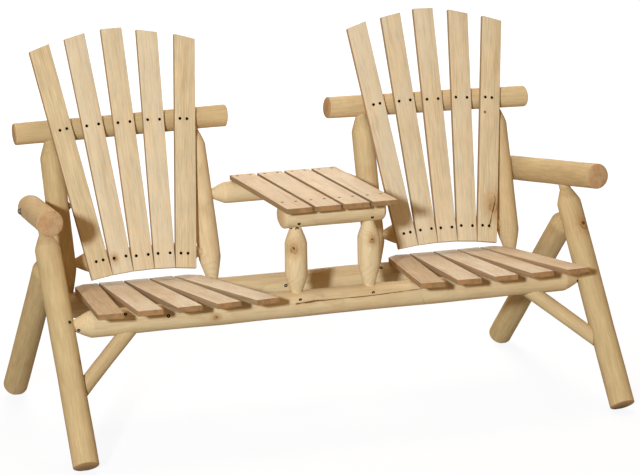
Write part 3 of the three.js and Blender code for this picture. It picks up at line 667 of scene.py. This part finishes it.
chance = np.random.default_rng(11)
log_pieces = {}
for seed, (name, (start, end, radius, first, last)) in enumerate(logs.items()):
    is_planed = name == "table_front_bearer"
    axis = (Vector(end) - Vector(start)).normalized()
    length = (Vector(end) - Vector(start)).length - first["start"] - last["start"]
    origin = Vector(start) + axis * first["start"]
    place = own_axes(origin, axis)
    values = {"Length": length, "Radius": radius, "Rings": max(FEWEST_RINGS, round(length / RING_STEP)),
              "Seed": seed * SEED_STEP, "Place": origin, "Turn": place.to_3x3().to_euler(),
              "Material": log_pine, "Floor": 0.0, "Crook": 0.004 if length > 1 else 0.002,
              "Planed Height": PLANED_HEIGHT if is_planed else NEVER_PLANED,
              "Butt Swell": 0.0 if "arm" in name else 0.02}
    for label, ending in (("Start", first), ("End", last)):
        values.update({f"{label} {key}": value for key, value in ending.items() if key != "start"})
    if name == "table_post_left":
        values["Start Taper"] = SHORT_POINT
    piece = grown(f"{name}_wood", log_nodes, values)
    if "brace" in name:
        cope_brace(piece, place, length, name.split("_")[-1])
    inward = place.inverted()
    knots = []
    for spot, size in LOG_KNOTS.get(name, ()):
        point = inward @ Vector(spot)
        branch = Vector((point.x, point.y, 0)).normalized()
        knots.append((branch * radius + Vector((0, 0, point.z)), branch, size, 0.0))
    pith = chance.uniform(-PITH_DRIFT, PITH_DRIFT, 2)
    tone = LOG_TONES.get(name, chance.uniform(0.25, 0.75))
    tell_wood(piece, place, pith, tone, knots, LOG_CRACKS.get(name), 0.3 if is_planed else 1.0)
    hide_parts(name)
    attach(piece, "root")
    log_pieces[name] = piece
    print(f"{name}: {len(piece.data.polygons)} faces, {off_box(piece, name):.1f} mm off its box")


# %% [markdown]
# # The boards
# The backs, the seats and the table are planed softwood, sawn square at the ends, with the sharp edges
# just broken. They could be scaled cubes, but a cube has razor edges that catch no light. A second tree
# sweeps a rounded section along each board, cuts the tops of the back boards along the curve of the fan,
# trims a rear corner where a board has to clear an upright, and drills the countersinks for its screws by
# a boolean.

# %% The board tree
END_BREAK = 0.0009
BOARD_SIZES = {
    "Width": 0.07, "Length": 0.5, "Thickness": 0.015, "Edge": 0.0014, "Top Slope": 0.0,
    "Trim Across": 0.0, "Trim Along": 0.036, "Trim Side": 1.0,
    "Drilled": False, "Hole Row": 0.1, "Hole Rows Apart": 0.3, "Hole Spacing": 0.036, "Hole Shift": 0.0,
    "Hole Radius": 0.0044,
    "Warp": 0.0008, "Seed": 0.0,
    "Place": "Vector", "Turn": "Rotation", "Material": "Material",
}


def board_tree():
    """Own axes: X across, Y through the board from its underside, Z along it."""
    tree, new, size = new_tree("planed board", BOARD_SIZES)
    length, width, thickness = size["Length"], size["Width"], size["Thickness"]
    rings, _, run = rings_along(new, length, count=96, crowding=0.95)
    spread = moved(rings, Position=new.vector(0, 0, run))
    section = new.node("GeometryNodeCurvePrimitiveQuadrilateral",
                       inputs={"Width": width, "Height": thickness})
    rounded = new.node("GeometryNodeFilletCurve", {"mode": "POLY"},
                       {"Curve": section, "Count": 3, "Radius": size["Edge"]})
    skin = new.node("GeometryNodeCurveToMesh",
                    inputs={"Curve": spread, "Profile Curve": rounded, "Fill Caps": True})
    across, through, along = new.node("GeometryNodeInputPosition").parts()
    to_end = new.maths("MINIMUM", along, length - along)
    broken = to_end.eased(0.0, END_BREAK, END_BREAK, 0.0)
    narrow = across * (1 - broken * 2 / width)
    thin = through * (1 - broken * 2 / thickness)
    past_trim = (along - (length - size["Trim Along"])) / size["Trim Along"]
    on_side = new.maths("GREATER_THAN", across * size["Trim Side"], 0.0)
    trimmed = narrow - past_trim.eased(0, 1) * on_side * size["Trim Across"] * size["Trim Side"]
    bow = new.vector(0, 0, along).noise(3.0, 1.0, seed=size["Seed"])
    lifted = thin + thickness * 0.5 + (bow - 0.5) * size["Warp"]
    risen = along + trimmed * size["Top Slope"] * along / length
    shaped = moved(skin, Position=new.vector(trimmed, lifted, risen))

    # a cone stands at each corner of a grid over the board and cuts a countersink
    corners = new.node("GeometryNodeMeshGrid",
                       inputs={"Size X": size["Hole Spacing"], "Size Y": size["Hole Rows Apart"],
                               "Vertices X": 2, "Vertices Y": 2})
    middle = size["Hole Row"] + size["Hole Rows Apart"] * 0.5
    spots = placed(corners, Rotation=(math.pi / 2, 0, 0),
                   Translation=new.vector(size["Hole Shift"], thickness, middle))
    drill = new.node("GeometryNodeMeshCone",
                     inputs={"Vertices": 20, "Radius Top": size["Hole Radius"] * 1.25,
                             "Radius Bottom": 0.0022, "Depth": 0.005})
    aimed = placed(drill, Rotation=(-math.pi / 2, 0, 0), Translation=(0, -0.004, 0))
    drills = new.node("GeometryNodeInstanceOnPoints", inputs={"Points": spots, "Instance": aimed})
    cutters = new.node("GeometryNodeRealizeInstances", inputs={0: drills})
    holed = new.node("GeometryNodeMeshBoolean", {"operation": "DIFFERENCE", "solver": "EXACT"},
                     {"Mesh 1": shaped, "Mesh 2": cutters})
    chosen = new.node("GeometryNodeSwitch", {"input_type": "GEOMETRY"},
                      {"Switch": size["Drilled"], "False": shaped, "True": holed})
    finish_tree(tree, placed(chosen, Translation=size["Place"], Rotation=size["Turn"]), size["Material"])
    return tree


board_nodes = board_tree()
print("board tree has", len(board_nodes.nodes), "nodes")


# %% [markdown]
# # Where the boards lie
# The boards of a back spread like a fan from feet that touch corner to corner, and those of a seat spread
# from the back to the front. A fan is one plane, and each of its boards is written by the place of its
# foot, by its sideways lean and by its length. Again only the right-hand half is listed. The boards came
# from many planks, so each has its own tone, and a few have a knot or a crack, written by its place
# across and along the board.

# %% Board lists
# a point of the fan's plane at the middle of the room, the way along the fan and the way that it faces
BACK_FAN = (Vector((0, 0.11137, 0.41679)), Vector((0, 0.32392, 0.94609)), Vector((0, -0.94609, 0.32392)))
SEAT_FAN = (Vector((0, -0.35624, 0.40139)), Vector((0, 0.99774, -0.06713)), Vector((0, 0.06713, 0.99774)))

# place across, rise of the foot, sideways lean in degrees, length and slope of the top in degrees
BACK_BOARDS = [
    (0.34606, -0.00544, -6.5, 0.6840, -11),
    (0.40893, -0.00060, -2.3, 0.6990, -8),
    (0.472, 0.0, 1.2, 0.7120, 0),
    (0.53496, -0.00352, 5.2, 0.7020, 9),
    (0.59754, -0.01137, 9.1, 0.6880, 9),
]
CHEST_RISE, CHEST_TILT = 0.434, math.tan(math.radians(0.86))
SEAT_MIDDLE, LOW_RISE = 0.472, 0.043
# place across, sideways lean in degrees and length
SEAT_BOARDS = [
    (0.2448, 9.7327, 0.5182), (0.3574, 5.6246, 0.5132), (0.47, 1.4583, 0.5109),
    (0.5826, -2.7237, 0.5113), (0.6952, -6.8772, 0.5144),
]
BOARD_TONES = {
    "back_board_left": (0.4, 0.9, 0.7, 0.85, 0.2), "back_board_right": (1.0, 0.8, 0.95, 0.8, 0.45),
    "seat_board_left": (0.85, 0.8, 1.0, 0.8, 0.2), "seat_board_right": (0.32, 0.8, 1.0, 0.8, 0.65),
    "table_board": (0.4, 0.52, 0.62, 0.7),
}
# (across, along), size and blur
BOARD_KNOTS = {
    "back_board_left_4": ((0.016, 0.046), 0.0075, 0.1),
    "back_board_right_5": ((-0.018, 0.113), 0.020, 0.60),
}


def board_crack(foot, top, runs, widths):
    """A straight crack between two places of a board, with its half-width at some runs."""
    def off(own):
        line = foot[0] + (own[:, 2] - foot[1]) * (top[0] - foot[0]) / (top[1] - foot[1])
        return (own[:, 0] - line) / np.interp(own[:, 2], runs, widths)
    return off


BOARD_CRACKS = {"back_board_right_5": board_crack(
    foot=(-0.0030, 0.0353), top=(-0.0284, 0.1509), runs=(0.036, 0.044, 0.09, 0.134, 0.146),
    widths=(0.00002, 0.0018, 0.0028, 0.0026, 0.00002))}


# %% Lay a board
BOARD_THICKNESS = 0.015
SUNK = 0.0001
BOARD_SEED_STEP = 5.3
BRANCH = (0, 1, 0.15)
screw_spots = []
board_pieces = {}


def board_axes(fan, hand, across, rise, lean):
    """The place of a board in a fan, with Z along it and Y towards its upper face."""
    foot, up, face = fan
    lean = math.radians(lean)
    along = Vector((hand * math.sin(lean), 0, 0)) + up * math.cos(lean)
    turn = Matrix((face.cross(along), face, along)).transposed()
    return Matrix.Translation(foot + up * rise + Vector((hand * across, 0, 0))) @ turn.to_4x4()


def lay_board(group, index, place, material, sizes, holes=None):
    """sizes are the tree's inputs for this board, and holes is (first row, rows apart, spacing, shift)."""
    name = f"{group}_{index + 1}"
    values = {"Seed": len(board_pieces) * BOARD_SEED_STEP, "Place": place.translation,
              "Turn": place.to_3x3().to_euler(), "Thickness": BOARD_THICKNESS, "Material": material,
              "Drilled": bool(holes), **sizes}
    if holes:
        row, apart, spacing, shift = holes
        values.update(zip(("Hole Row", "Hole Rows Apart", "Hole Spacing", "Hole Shift"), holes))
        for run in (row, row + apart):
            for way in (-1, 1):
                spot = place @ Vector((shift + way * spacing / 2, BOARD_THICKNESS - SUNK, run))
                screw_spots.append((spot, place.to_3x3().col[1]))
    piece = grown(f"{name}_wood", board_nodes, values)
    knots = []
    if name in BOARD_KNOTS:
        (across, along), size, blur = BOARD_KNOTS[name]
        knots = [((across, BOARD_THICKNESS, along), BRANCH, size, blur)]
    pith = (chance.choice((-1, 1)) * chance.uniform(0.10, 0.18), -chance.uniform(0.02, 0.06))
    # the narrow edges of each board are darkened with painted shade at 0.8
    tell_wood(piece, place, pith, BOARD_TONES[group][index], knots, BOARD_CRACKS.get(name), edge_shade=0.8)
    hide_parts(name)
    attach(piece, "root")
    board_pieces[name] = piece


# %% Grow every board
BACK_WIDTH, SEAT_WIDTH, TABLE_WIDTH = 0.0625, 0.071, 0.075
EDGE_SHIFT, EDGE_DROP, SEAT_TRIM = 0.005, 0.006, 0.028
EDGE_SPACING, SPACING = 0.021, 0.036
EDGES = (-1, 0, 0, 0, 1)
TABLE = (Vector((0, -0.29513, 0.636)), Vector((0, 1, 0)), Vector((0, 0, 1)))
TABLE_PITCH, TABLE_LENGTH = 0.085, 0.5299
TABLE_HOLES = (0.095, 0.41487, 0.040, 0.0)


def back_holes(edge, hand, across, rise, lean):
    """The screws stand in two level rows, over the low rail and over the top rail."""
    angle = math.radians(lean)
    drop = EDGE_DROP * abs(edge)
    low_run = (LOW_RISE - rise) / math.cos(angle) - drop
    top_rise = CHEST_RISE + (SEAT_MIDDLE - across) * CHEST_TILT - rise
    top_run = top_rise / (math.cos(angle) + math.sin(angle) * CHEST_TILT) - drop
    return (low_run, top_run - low_run, EDGE_SPACING if edge else SPACING, EDGE_SHIFT * edge * hand)


for side, hand in SIDES:
    for index, (across, rise, lean, length, cut) in enumerate(BACK_BOARDS):
        sizes = {"Width": BACK_WIDTH, "Length": length, "Top Slope": hand * math.tan(math.radians(cut))}
        place = board_axes(BACK_FAN, hand, across, rise, lean)
        lay_board(f"back_board_{side}", index, place, back_pine, sizes,
                  back_holes(EDGES[index], hand, across, rise, lean))
    for index, (across, lean, length) in enumerate(SEAT_BOARDS):
        trim = -EDGES[index] * hand
        sizes = {"Width": SEAT_WIDTH, "Length": length, "Trim Across": SEAT_TRIM * abs(trim),
                 "Trim Side": float(trim or 1)}
        place = board_axes(SEAT_FAN, hand, across, 0, lean)
        lay_board(f"seat_board_{side}", index, place, seat_pine, sizes)
for index in range(4):
    place = board_axes(TABLE, 1, (index - 1.5) * TABLE_PITCH, 0, 0)
    lay_board("table_board", index, place, seat_pine,
              {"Width": TABLE_WIDTH, "Length": TABLE_LENGTH}, TABLE_HOLES)

for name, piece in board_pieces.items():
    print(f"{name}: {len(piece.data.polygons)} faces, {off_box(piece, name):.1f} mm off its box")


# %% [markdown]
# # The screws
# The screws are nearly black and countersunk, with a cross recess. They all look alike, so one head is
# made inside a tree, with the recess cut out of it, and stands at every spot of a list, turned by a
# random angle with a fixed seed. The screws that pin the tenons in the logs are of the same kind, a size
# larger. The place of each is found by going out from a point inside a log until the log's skin is met.

# %% The screw tree
RECESS_DEPTH, CROWN_HEIGHT = 0.0026, 0.0003
SCREW_SIZES = {
    "Geometry": "Geometry", "Head Radius": 0.004, "Head Depth": 0.0028,
    "Recess Width": 0.0011, "Recess Length": 0.0046, "Seed": 4, "Material": "Material",
}


def screw_tree():
    tree, new, size = new_tree("wood screws", SCREW_SIZES)
    radius, depth = size["Head Radius"], size["Head Depth"]
    wide, long = size["Recess Width"], size["Recess Length"]

    def cone(top, bottom, height):
        values = {"Vertices": 24, "Radius Top": top, "Radius Bottom": bottom, "Depth": height}
        return new.node("GeometryNodeMeshCone", inputs=values)

    head = placed(cone(radius, radius * 0.5, depth), Translation=new.vector(0, 0, depth * -1))
    crown = cone(radius * 0.72, radius, CROWN_HEIGHT)
    whole = new.node("GeometryNodeMeshBoolean", {"operation": "UNION", "solver": "EXACT"},
                     {"Mesh 2": [head, crown]})
    bars = [new.node("GeometryNodeMeshCube", inputs={"Size": new.vector(*lengths, RECESS_DEPTH)})
            for lengths in ((long, wide), (wide, long))]
    recessed = new.node("GeometryNodeMeshBoolean", {"operation": "DIFFERENCE", "solver": "EXACT"},
                        {"Mesh 1": whole, "Mesh 2": bars})
    heading = new.node("GeometryNodeInputNamedAttribute", {"data_type": "FLOAT_VECTOR"}, {"Name": "heading"})
    aimed = new.node("FunctionNodeAlignRotationToVector", {"axis": "Z"}, {"Vector": heading})
    spin = new.node("FunctionNodeRandomValue", {"data_type": "FLOAT"},
                    {2: 0.0, 3: math.pi, "Seed": size["Seed"]}, out=1)
    spun = new.node("FunctionNodeAxisAngleToRotation", inputs={"Axis": (0, 0, 1), "Angle": spin})
    turned_head = new.node("FunctionNodeRotateRotation", {"rotation_space": "LOCAL"},
                           {"Rotation": aimed, "Rotate By": spun})
    stood = new.node("GeometryNodeInstanceOnPoints",
                     inputs={"Points": size["Geometry"], "Instance": recessed, "Rotation": turned_head})
    finish_tree(tree, stood, size["Material"])
    return tree


screw_nodes = screw_tree()
print("screw tree has", len(screw_nodes.nodes), "nodes")

# %% [markdown]
# # Screw black and bolt zinc
# The screws have a dark corrosion coating and the bolts are dull zinc, so neither is a mirror. A fine
# noise in object space breaks up their colour and roughness, as handling and weather do. Both are kept
# warm, because the grey of bare metal would look blue beside the wood.

# %% Metal finishes
def metal(name, base, worn, roughness, metallic, gloss):
    """Coated steel, a little worn and dusty."""
    material, shader, new = new_material(name)
    place = new.node("ShaderNodeTexCoord", out="Object")
    patch, pits = place.noise(320.0, 4.0), place.noise(2600.0, 2.0)
    bump = new.node("ShaderNodeBump", inputs={"Strength": 0.3, "Distance": 0.0002, "Height": pits + patch})
    feed(shader, {"Base Color": new.mixed(base, worn, patch.eased(0.45, 0.7)), "Normal": bump,
                  "Roughness": patch * 0.3 + roughness, "Metallic": metallic, "Specular IOR Level": gloss})
    return material


screw_black = metal("screw black", colour(18, 11, 5), colour(24, 15, 7),
                    roughness=0.7, metallic=0.0, gloss=0.0)
bolt_zinc = metal("bolt zinc", colour(118, 107, 95), colour(82, 70, 58),
                  roughness=0.35, metallic=0.8, gloss=0.4)
print("metals:", screw_black.name, "and", bolt_zinc.name)

# %% Drive the board screws
def drive(name, spots, sizes):
    """Puts a screw at every (place, facing) of a list."""
    points = bpy.data.meshes.new(name)
    points.from_pydata([tuple(spot) for spot, _ in spots], [], [])
    write_fact(points, "heading", np.array([tuple(facing) for _, facing in spots]))
    piece = grown(name, screw_nodes, {"Material": screw_black, **sizes}, points)
    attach(piece, "root")
    print(f"{name}: {len(spots)} screws")
    return piece


drive("board_screws", screw_spots, {})
spare_place = board_axes(BACK_FAN, 1, *BACK_BOARDS[4][:3])
spare_spot = spare_place @ Vector((0.0164, BOARD_THICKNESS, 0.3956))
drive("spare_board_screw", [(spare_spot, spare_place.to_3x3().col[1])], {"Seed": 9})


# %% Drive the lock screws
SCREW_HOLD = 0.005
LOCK_SIZES = {"Head Radius": 0.0046, "Recess Length": 0.0052}
LEG_SQUARE, TO_FRONT = (0, -0.818, 0.575), (0, -1, 0)


def on_skin(log, inside, facing):
    """Where a line from a point inside a log comes out of its uneven skin, and that line's direction."""
    facing = Vector(facing).normalized()
    skin = np.array([vertex.co for vertex in log_pieces[log].data.vertices]) - np.array(inside)
    out = skin @ np.array(facing)
    aside = np.linalg.norm(skin - np.outer(out, facing), axis=1)
    return Vector(inside) + facing * out[(aside < SCREW_HOLD) & (out > 0)].max(), facing


for side, _ in SIDES:
    for node, log, facing in ((f"rail_lock_screw_{side}", f"front_leg_{side}", LEG_SQUARE),
                              (f"post_foot_lock_screw_{side}", "front_rail", TO_FRONT),
                              (f"post_top_lock_screw_{side}", "table_front_bearer", TO_FRONT)):
        low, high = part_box(node)
        middle = (Vector(low) + Vector(high)) / 2
        lock = drive(f"{node}_head", [on_skin(log, middle, facing)], {**LOCK_SIZES, "Seed": len(node)})
        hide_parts(node)

# %% Drive the tenon screws
# (log, point inside it, facing) for the right-hand half
HIDDEN_SCREWS = [
    ("rear_rail", (0.2586, REAR, 0.331), (0, -0.665, 0.747)),
    ("rear_rail", (0.685, REAR, 0.331), (0, 0.8, 0.6)),
    ("rear_leg", (0.7885, 0.13, 0.33), (0, 0.77, 0.64)),
    ("inner_upright", (0.2562, 0.1620, 0.44), (-0.95, 0.3, 0)),
    ("outer_upright", (0.6917, 0.1622, 0.44), (0.95, 0.3, 0)),
    ("inner_upright", (0.2604, 0.2147, 0.6037), (0.6, 0.8, 0)),
    ("top_rail", (0.2660, 0.2837, 0.8198), (0, 0.9, 0.43)),
    ("top_rail", (0.6960, 0.2816, 0.8137), (0, 0.9, 0.43)),
]
RAIL_POINT_SCREW = ((0.7515, -0.2185, 0.3440), (0.3, -0.85, -0.42))
SHOWN_SCREWS = [
    ("table_post_left", (-0.11, FRONT, 0.5765), (-0.05, -1, -0.08)),
    ("table_post_left", (-0.11, FRONT, 0.5765), (-0.9, -0.4, 0)),
    ("rear_rail", (-0.0445, REAR, 0.3364), TO_FRONT),
    ("front_rail", (-0.6202, FRONT, 0.353), (0, -0.725, 0.689)),
    ("front_rail", (-0.4989, FRONT, 0.353), (0, -0.953, 0.304)),
]
spots = []
for side, hand in SIDES:
    for log, inside, facing in HIDDEN_SCREWS:
        host = log if log in logs else f"{log}_{side}"
        spots.append(on_skin(host, mirrored(inside, hand), mirrored(facing, hand)))
    spots.append([Vector(mirrored(part, hand)) for part in RAIL_POINT_SCREW])
spots += [on_skin(*screw) for screw in SHOWN_SCREWS]
drive("tenon_screws", spots, {**LOCK_SIZES, "Head Radius": 0.0052, "Seed": 3})

# %% [markdown]
# # The arm bolts
# One bolt holds each arm to its upright, with a domed head outside, a washer under the head, and a washer
# and a hexagon nut inside. All four are shapes from a lathe, so one function turns an outline round the
# bolt's line, and a nut only needs its corners cut by six flats. The thread that shows past the nut is
# cut as rings, which look the same as a helix at this size.

# %% Turn an outline on a lathe
TURNED_SIDES = 48
SAME_PLACE = 0.000001
TURNED_SHARP_FROM = math.radians(28)


def turned(name, outline, place, flats=None):
    """Turns a closed outline of (radius, run) points about the Z of a place. flats cuts it to a hexagon."""
    shape = bmesh.new()
    rings = []
    for radius, run in outline:
        ring = []
        for step in range(TURNED_SIDES):
            angle = step * math.tau / TURNED_SIDES
            reach = radius
            if flats:
                to_flat = (angle + math.pi / 6) % (math.pi / 3) - math.pi / 6
                reach = min(radius, flats / math.cos(to_flat))
            point = place @ Vector((reach * math.cos(angle), reach * math.sin(angle), run))
            ring.append(shape.verts.new(point))
        rings.append(ring)
    for near, far in zip(rings, rings[1:] + rings[:1]):
        for step in range(TURNED_SIDES):
            after = (step + 1) % TURNED_SIDES
            shape.faces.new((near[step], near[after], far[after], far[step]))
    bmesh.ops.remove_doubles(shape, verts=shape.verts, dist=SAME_PLACE)
    bmesh.ops.recalc_face_normals(shape, faces=shape.faces)
    mesh = bpy.data.meshes.new(name)
    shape.to_mesh(mesh)
    shape.free()
    mesh.shade_smooth()
    mesh.set_sharp_from_angle(angle=TURNED_SHARP_FROM)
    mesh.materials.append(bolt_zinc)
    return stand(name, mesh)


# %% The bolts, their washers and their nuts
HEAD_RADIUS, HEAD_HEIGHT, HEAD_EDGE, SHANK_RADIUS = 0.0088, 0.0058, 0.001, 0.0039
WASHER_RADIUS, WASHER_BORE, WASHER_THICKNESS, WASHER_EDGE = 0.0109, 0.0048, 0.002, 0.0003
NUT_CORNER, NUT_FLAT, NUT_HEIGHT, NUT_CHAMFER, NUT_THREAD = 0.0079, 0.0068, 0.0065, 0.0008, 0.0006
HEAD_SEAT, GRIP, NUT_SEAT, BOLT_END, THREAD_PITCH = -0.0023, 0.1409, 0.1432, 0.1526, 0.00125
THREAD_DEPTH, THREAD_STEPS, POINT_CHAMFER = 0.0005, 14, 0.0006

dome = [(HEAD_RADIUS * math.sin(t), HEAD_SEAT - HEAD_EDGE - (HEAD_HEIGHT - HEAD_EDGE) * math.cos(t))
        for t in np.linspace(0, math.pi / 2, 12)]
thread = [(SHANK_RADIUS - (THREAD_DEPTH if step % 2 else 0.0), NUT_SEAT + step * THREAD_PITCH / 2)
          for step in range(THREAD_STEPS)]
bolt_outline = dome + [(HEAD_RADIUS, HEAD_SEAT), (SHANK_RADIUS, HEAD_SEAT)] + thread
bolt_outline += [(SHANK_RADIUS - POINT_CHAMFER, BOLT_END), (0, BOLT_END)]


def ring_outline(radius, start, height, across, along):
    """A washer or a nut, with its outer edges broken by so much across and along."""
    end, outer = start + height, radius - across
    return [(WASHER_BORE, start), (outer, start), (radius, start + along),
            (radius, end - along), (outer, end), (WASHER_BORE, end)]


def washer_outline(start):
    return ring_outline(WASHER_RADIUS, start, WASHER_THICKNESS, WASHER_EDGE, WASHER_EDGE)


nut_outline = ring_outline(NUT_CORNER, NUT_SEAT, NUT_HEIGHT, NUT_CHAMFER, NUT_CHAMFER / 2)
nut_outline += [(WASHER_BORE - NUT_THREAD, NUT_SEAT + NUT_HEIGHT - NUT_THREAD),
                (WASHER_BORE - NUT_THREAD, NUT_SEAT + NUT_THREAD)]
for side, hand in SIDES:
    start, direction = (0.80018, 0.22771, 0.59697), (-0.99093, -0.12423, 0.05117)
    place = own_axes(mirrored(start, hand), mirrored(direction, hand))
    for node, outline, flats in (("arm_bolt", bolt_outline, None), ("arm_nut", nut_outline, NUT_FLAT),
                                 ("arm_bolt_washer", washer_outline(-WASHER_THICKNESS), None),
                                 ("arm_nut_washer", washer_outline(GRIP), None)):
        name = f"{node}_{side}"
        piece = turned(f"{name}_metal", outline, place, flats)
        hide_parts(name)
        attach(piece, "root")
        print(f"{name}: {off_box(piece, name):.1f} mm off its box")

# %% [markdown]
# # Lights and floor
# The photograph is a cut-out on white, lit by one low lamp from the front left, whose size shows in the
# edges of the shadows on the boards, and by soft light from above. The same two lamps stand here. The one
# above stands a little behind the loveseat, so that the shadows on the leaning backs stay deep, and a
# third, weak one serves the views from behind. The world is a warm fill, and the camera sees it as white.
# The floor is paper: to the camera most of its light is its own, so it is white with a trace of shadow,
# and to the wood it is dull, so that it doesn't light the undersides.

# %% World
scene = bpy.context.scene
scene.view_settings.view_transform = "Standard"
WHITE, WARM_FILL, FILL_STRENGTH = (1, 1, 1, 1), (1.0, 0.62, 0.24, 1), 0.35


def seen_directly(new):
    """1 for rays from the camera, from gloss and through glass, and 0 for the rays that light things."""
    rays = new.node("ShaderNodeLightPath").socket.node.outputs
    camera_ray, glossy_ray, clear_ray = (Wire(new.tree, rays[f"Is {kind} Ray"])
                                         for kind in ("Camera", "Glossy", "Transmission"))
    return new.maths("MAXIMUM", new.maths("MAXIMUM", camera_ray, glossy_ray), clear_ray)


world = bpy.data.worlds.new("studio")
world.use_nodes = True
scene.world = world
sky = Wire(world.node_tree)
seen = seen_directly(sky)
feed(world.node_tree.nodes["Background"], {"Color": sky.mixed(WARM_FILL, WHITE, seen),
                                           "Strength": seen.eased(0, 1, FILL_STRENGTH, 1.0)})
print("world:", world.name)


# %% Lamps
def softbox(name, toward, far, width, level, shade=(1, 1, 1)):
    """A square lamp in a direction from the middle. Level 1 lights a card that faces it to white."""
    middle = Vector((0, 0, 0.5))
    lamp = stand(name, bpy.data.lights.new(name, "AREA"))
    lamp.data.size = width
    lamp.data.energy = level * (math.pi * far) ** 2
    lamp.data.color = shade
    lamp.location = middle + Vector(toward).normalized() * far
    lamp.rotation_euler = (middle - lamp.location).to_track_quat("-Z", "Y").to_euler()


softbox("key softbox", (-0.483, -0.818, 0.266), far=16.0, width=0.85, level=0.92, shade=(0.855, 0.98, 1.09))
softbox("top softbox", (0.12, 0.36, 1.0), far=5.0, width=3.2, level=0.54)
softbox("back softbox", (0.25, 1.0, 0.45), far=8.0, width=2.6, level=0.40)

# %% Floor
FLOOR_REACH = 30
PAPER_SHADE, PAPER_GLOW = (0.30, 0.26, 0.20, 1), (1.01, 1.03, 1.06, 1)
NEAR_SHARE, FAR_SHARE = 0.57, 0.67
floor_mesh = bpy.data.meshes.new("floor")
corners = [(x * FLOOR_REACH, y * FLOOR_REACH, 0) for x, y in ((-1, -1), (1, -1), (1, 1), (-1, 1))]
floor_mesh.from_pydata(corners, [], [(0, 1, 2, 3)])
floor = stand("floor", floor_mesh)

paper, shader, new = new_material("white paper")
feed(shader, {"Base Color": PAPER_SHADE, "Roughness": 0.95})
glow = new.node("ShaderNodeEmission", inputs={"Color": PAPER_GLOW, "Strength": 1.5})
away = new.node("ShaderNodeTexCoord", out="Object").length()
mostly_own = seen_directly(new) * away.eased(1.0, 5.0, NEAR_SHARE, FAR_SHARE)
lit = Wire(paper.node_tree, shader.outputs[0])
blend = new.node("ShaderNodeMixShader", inputs={0: mostly_own, 1: lit, 2: glow})
feed(paper.node_tree.nodes["Material Output"], {"Surface": blend})
floor_mesh.materials.append(paper)
print("floor:", floor.name, "of", paper.name)
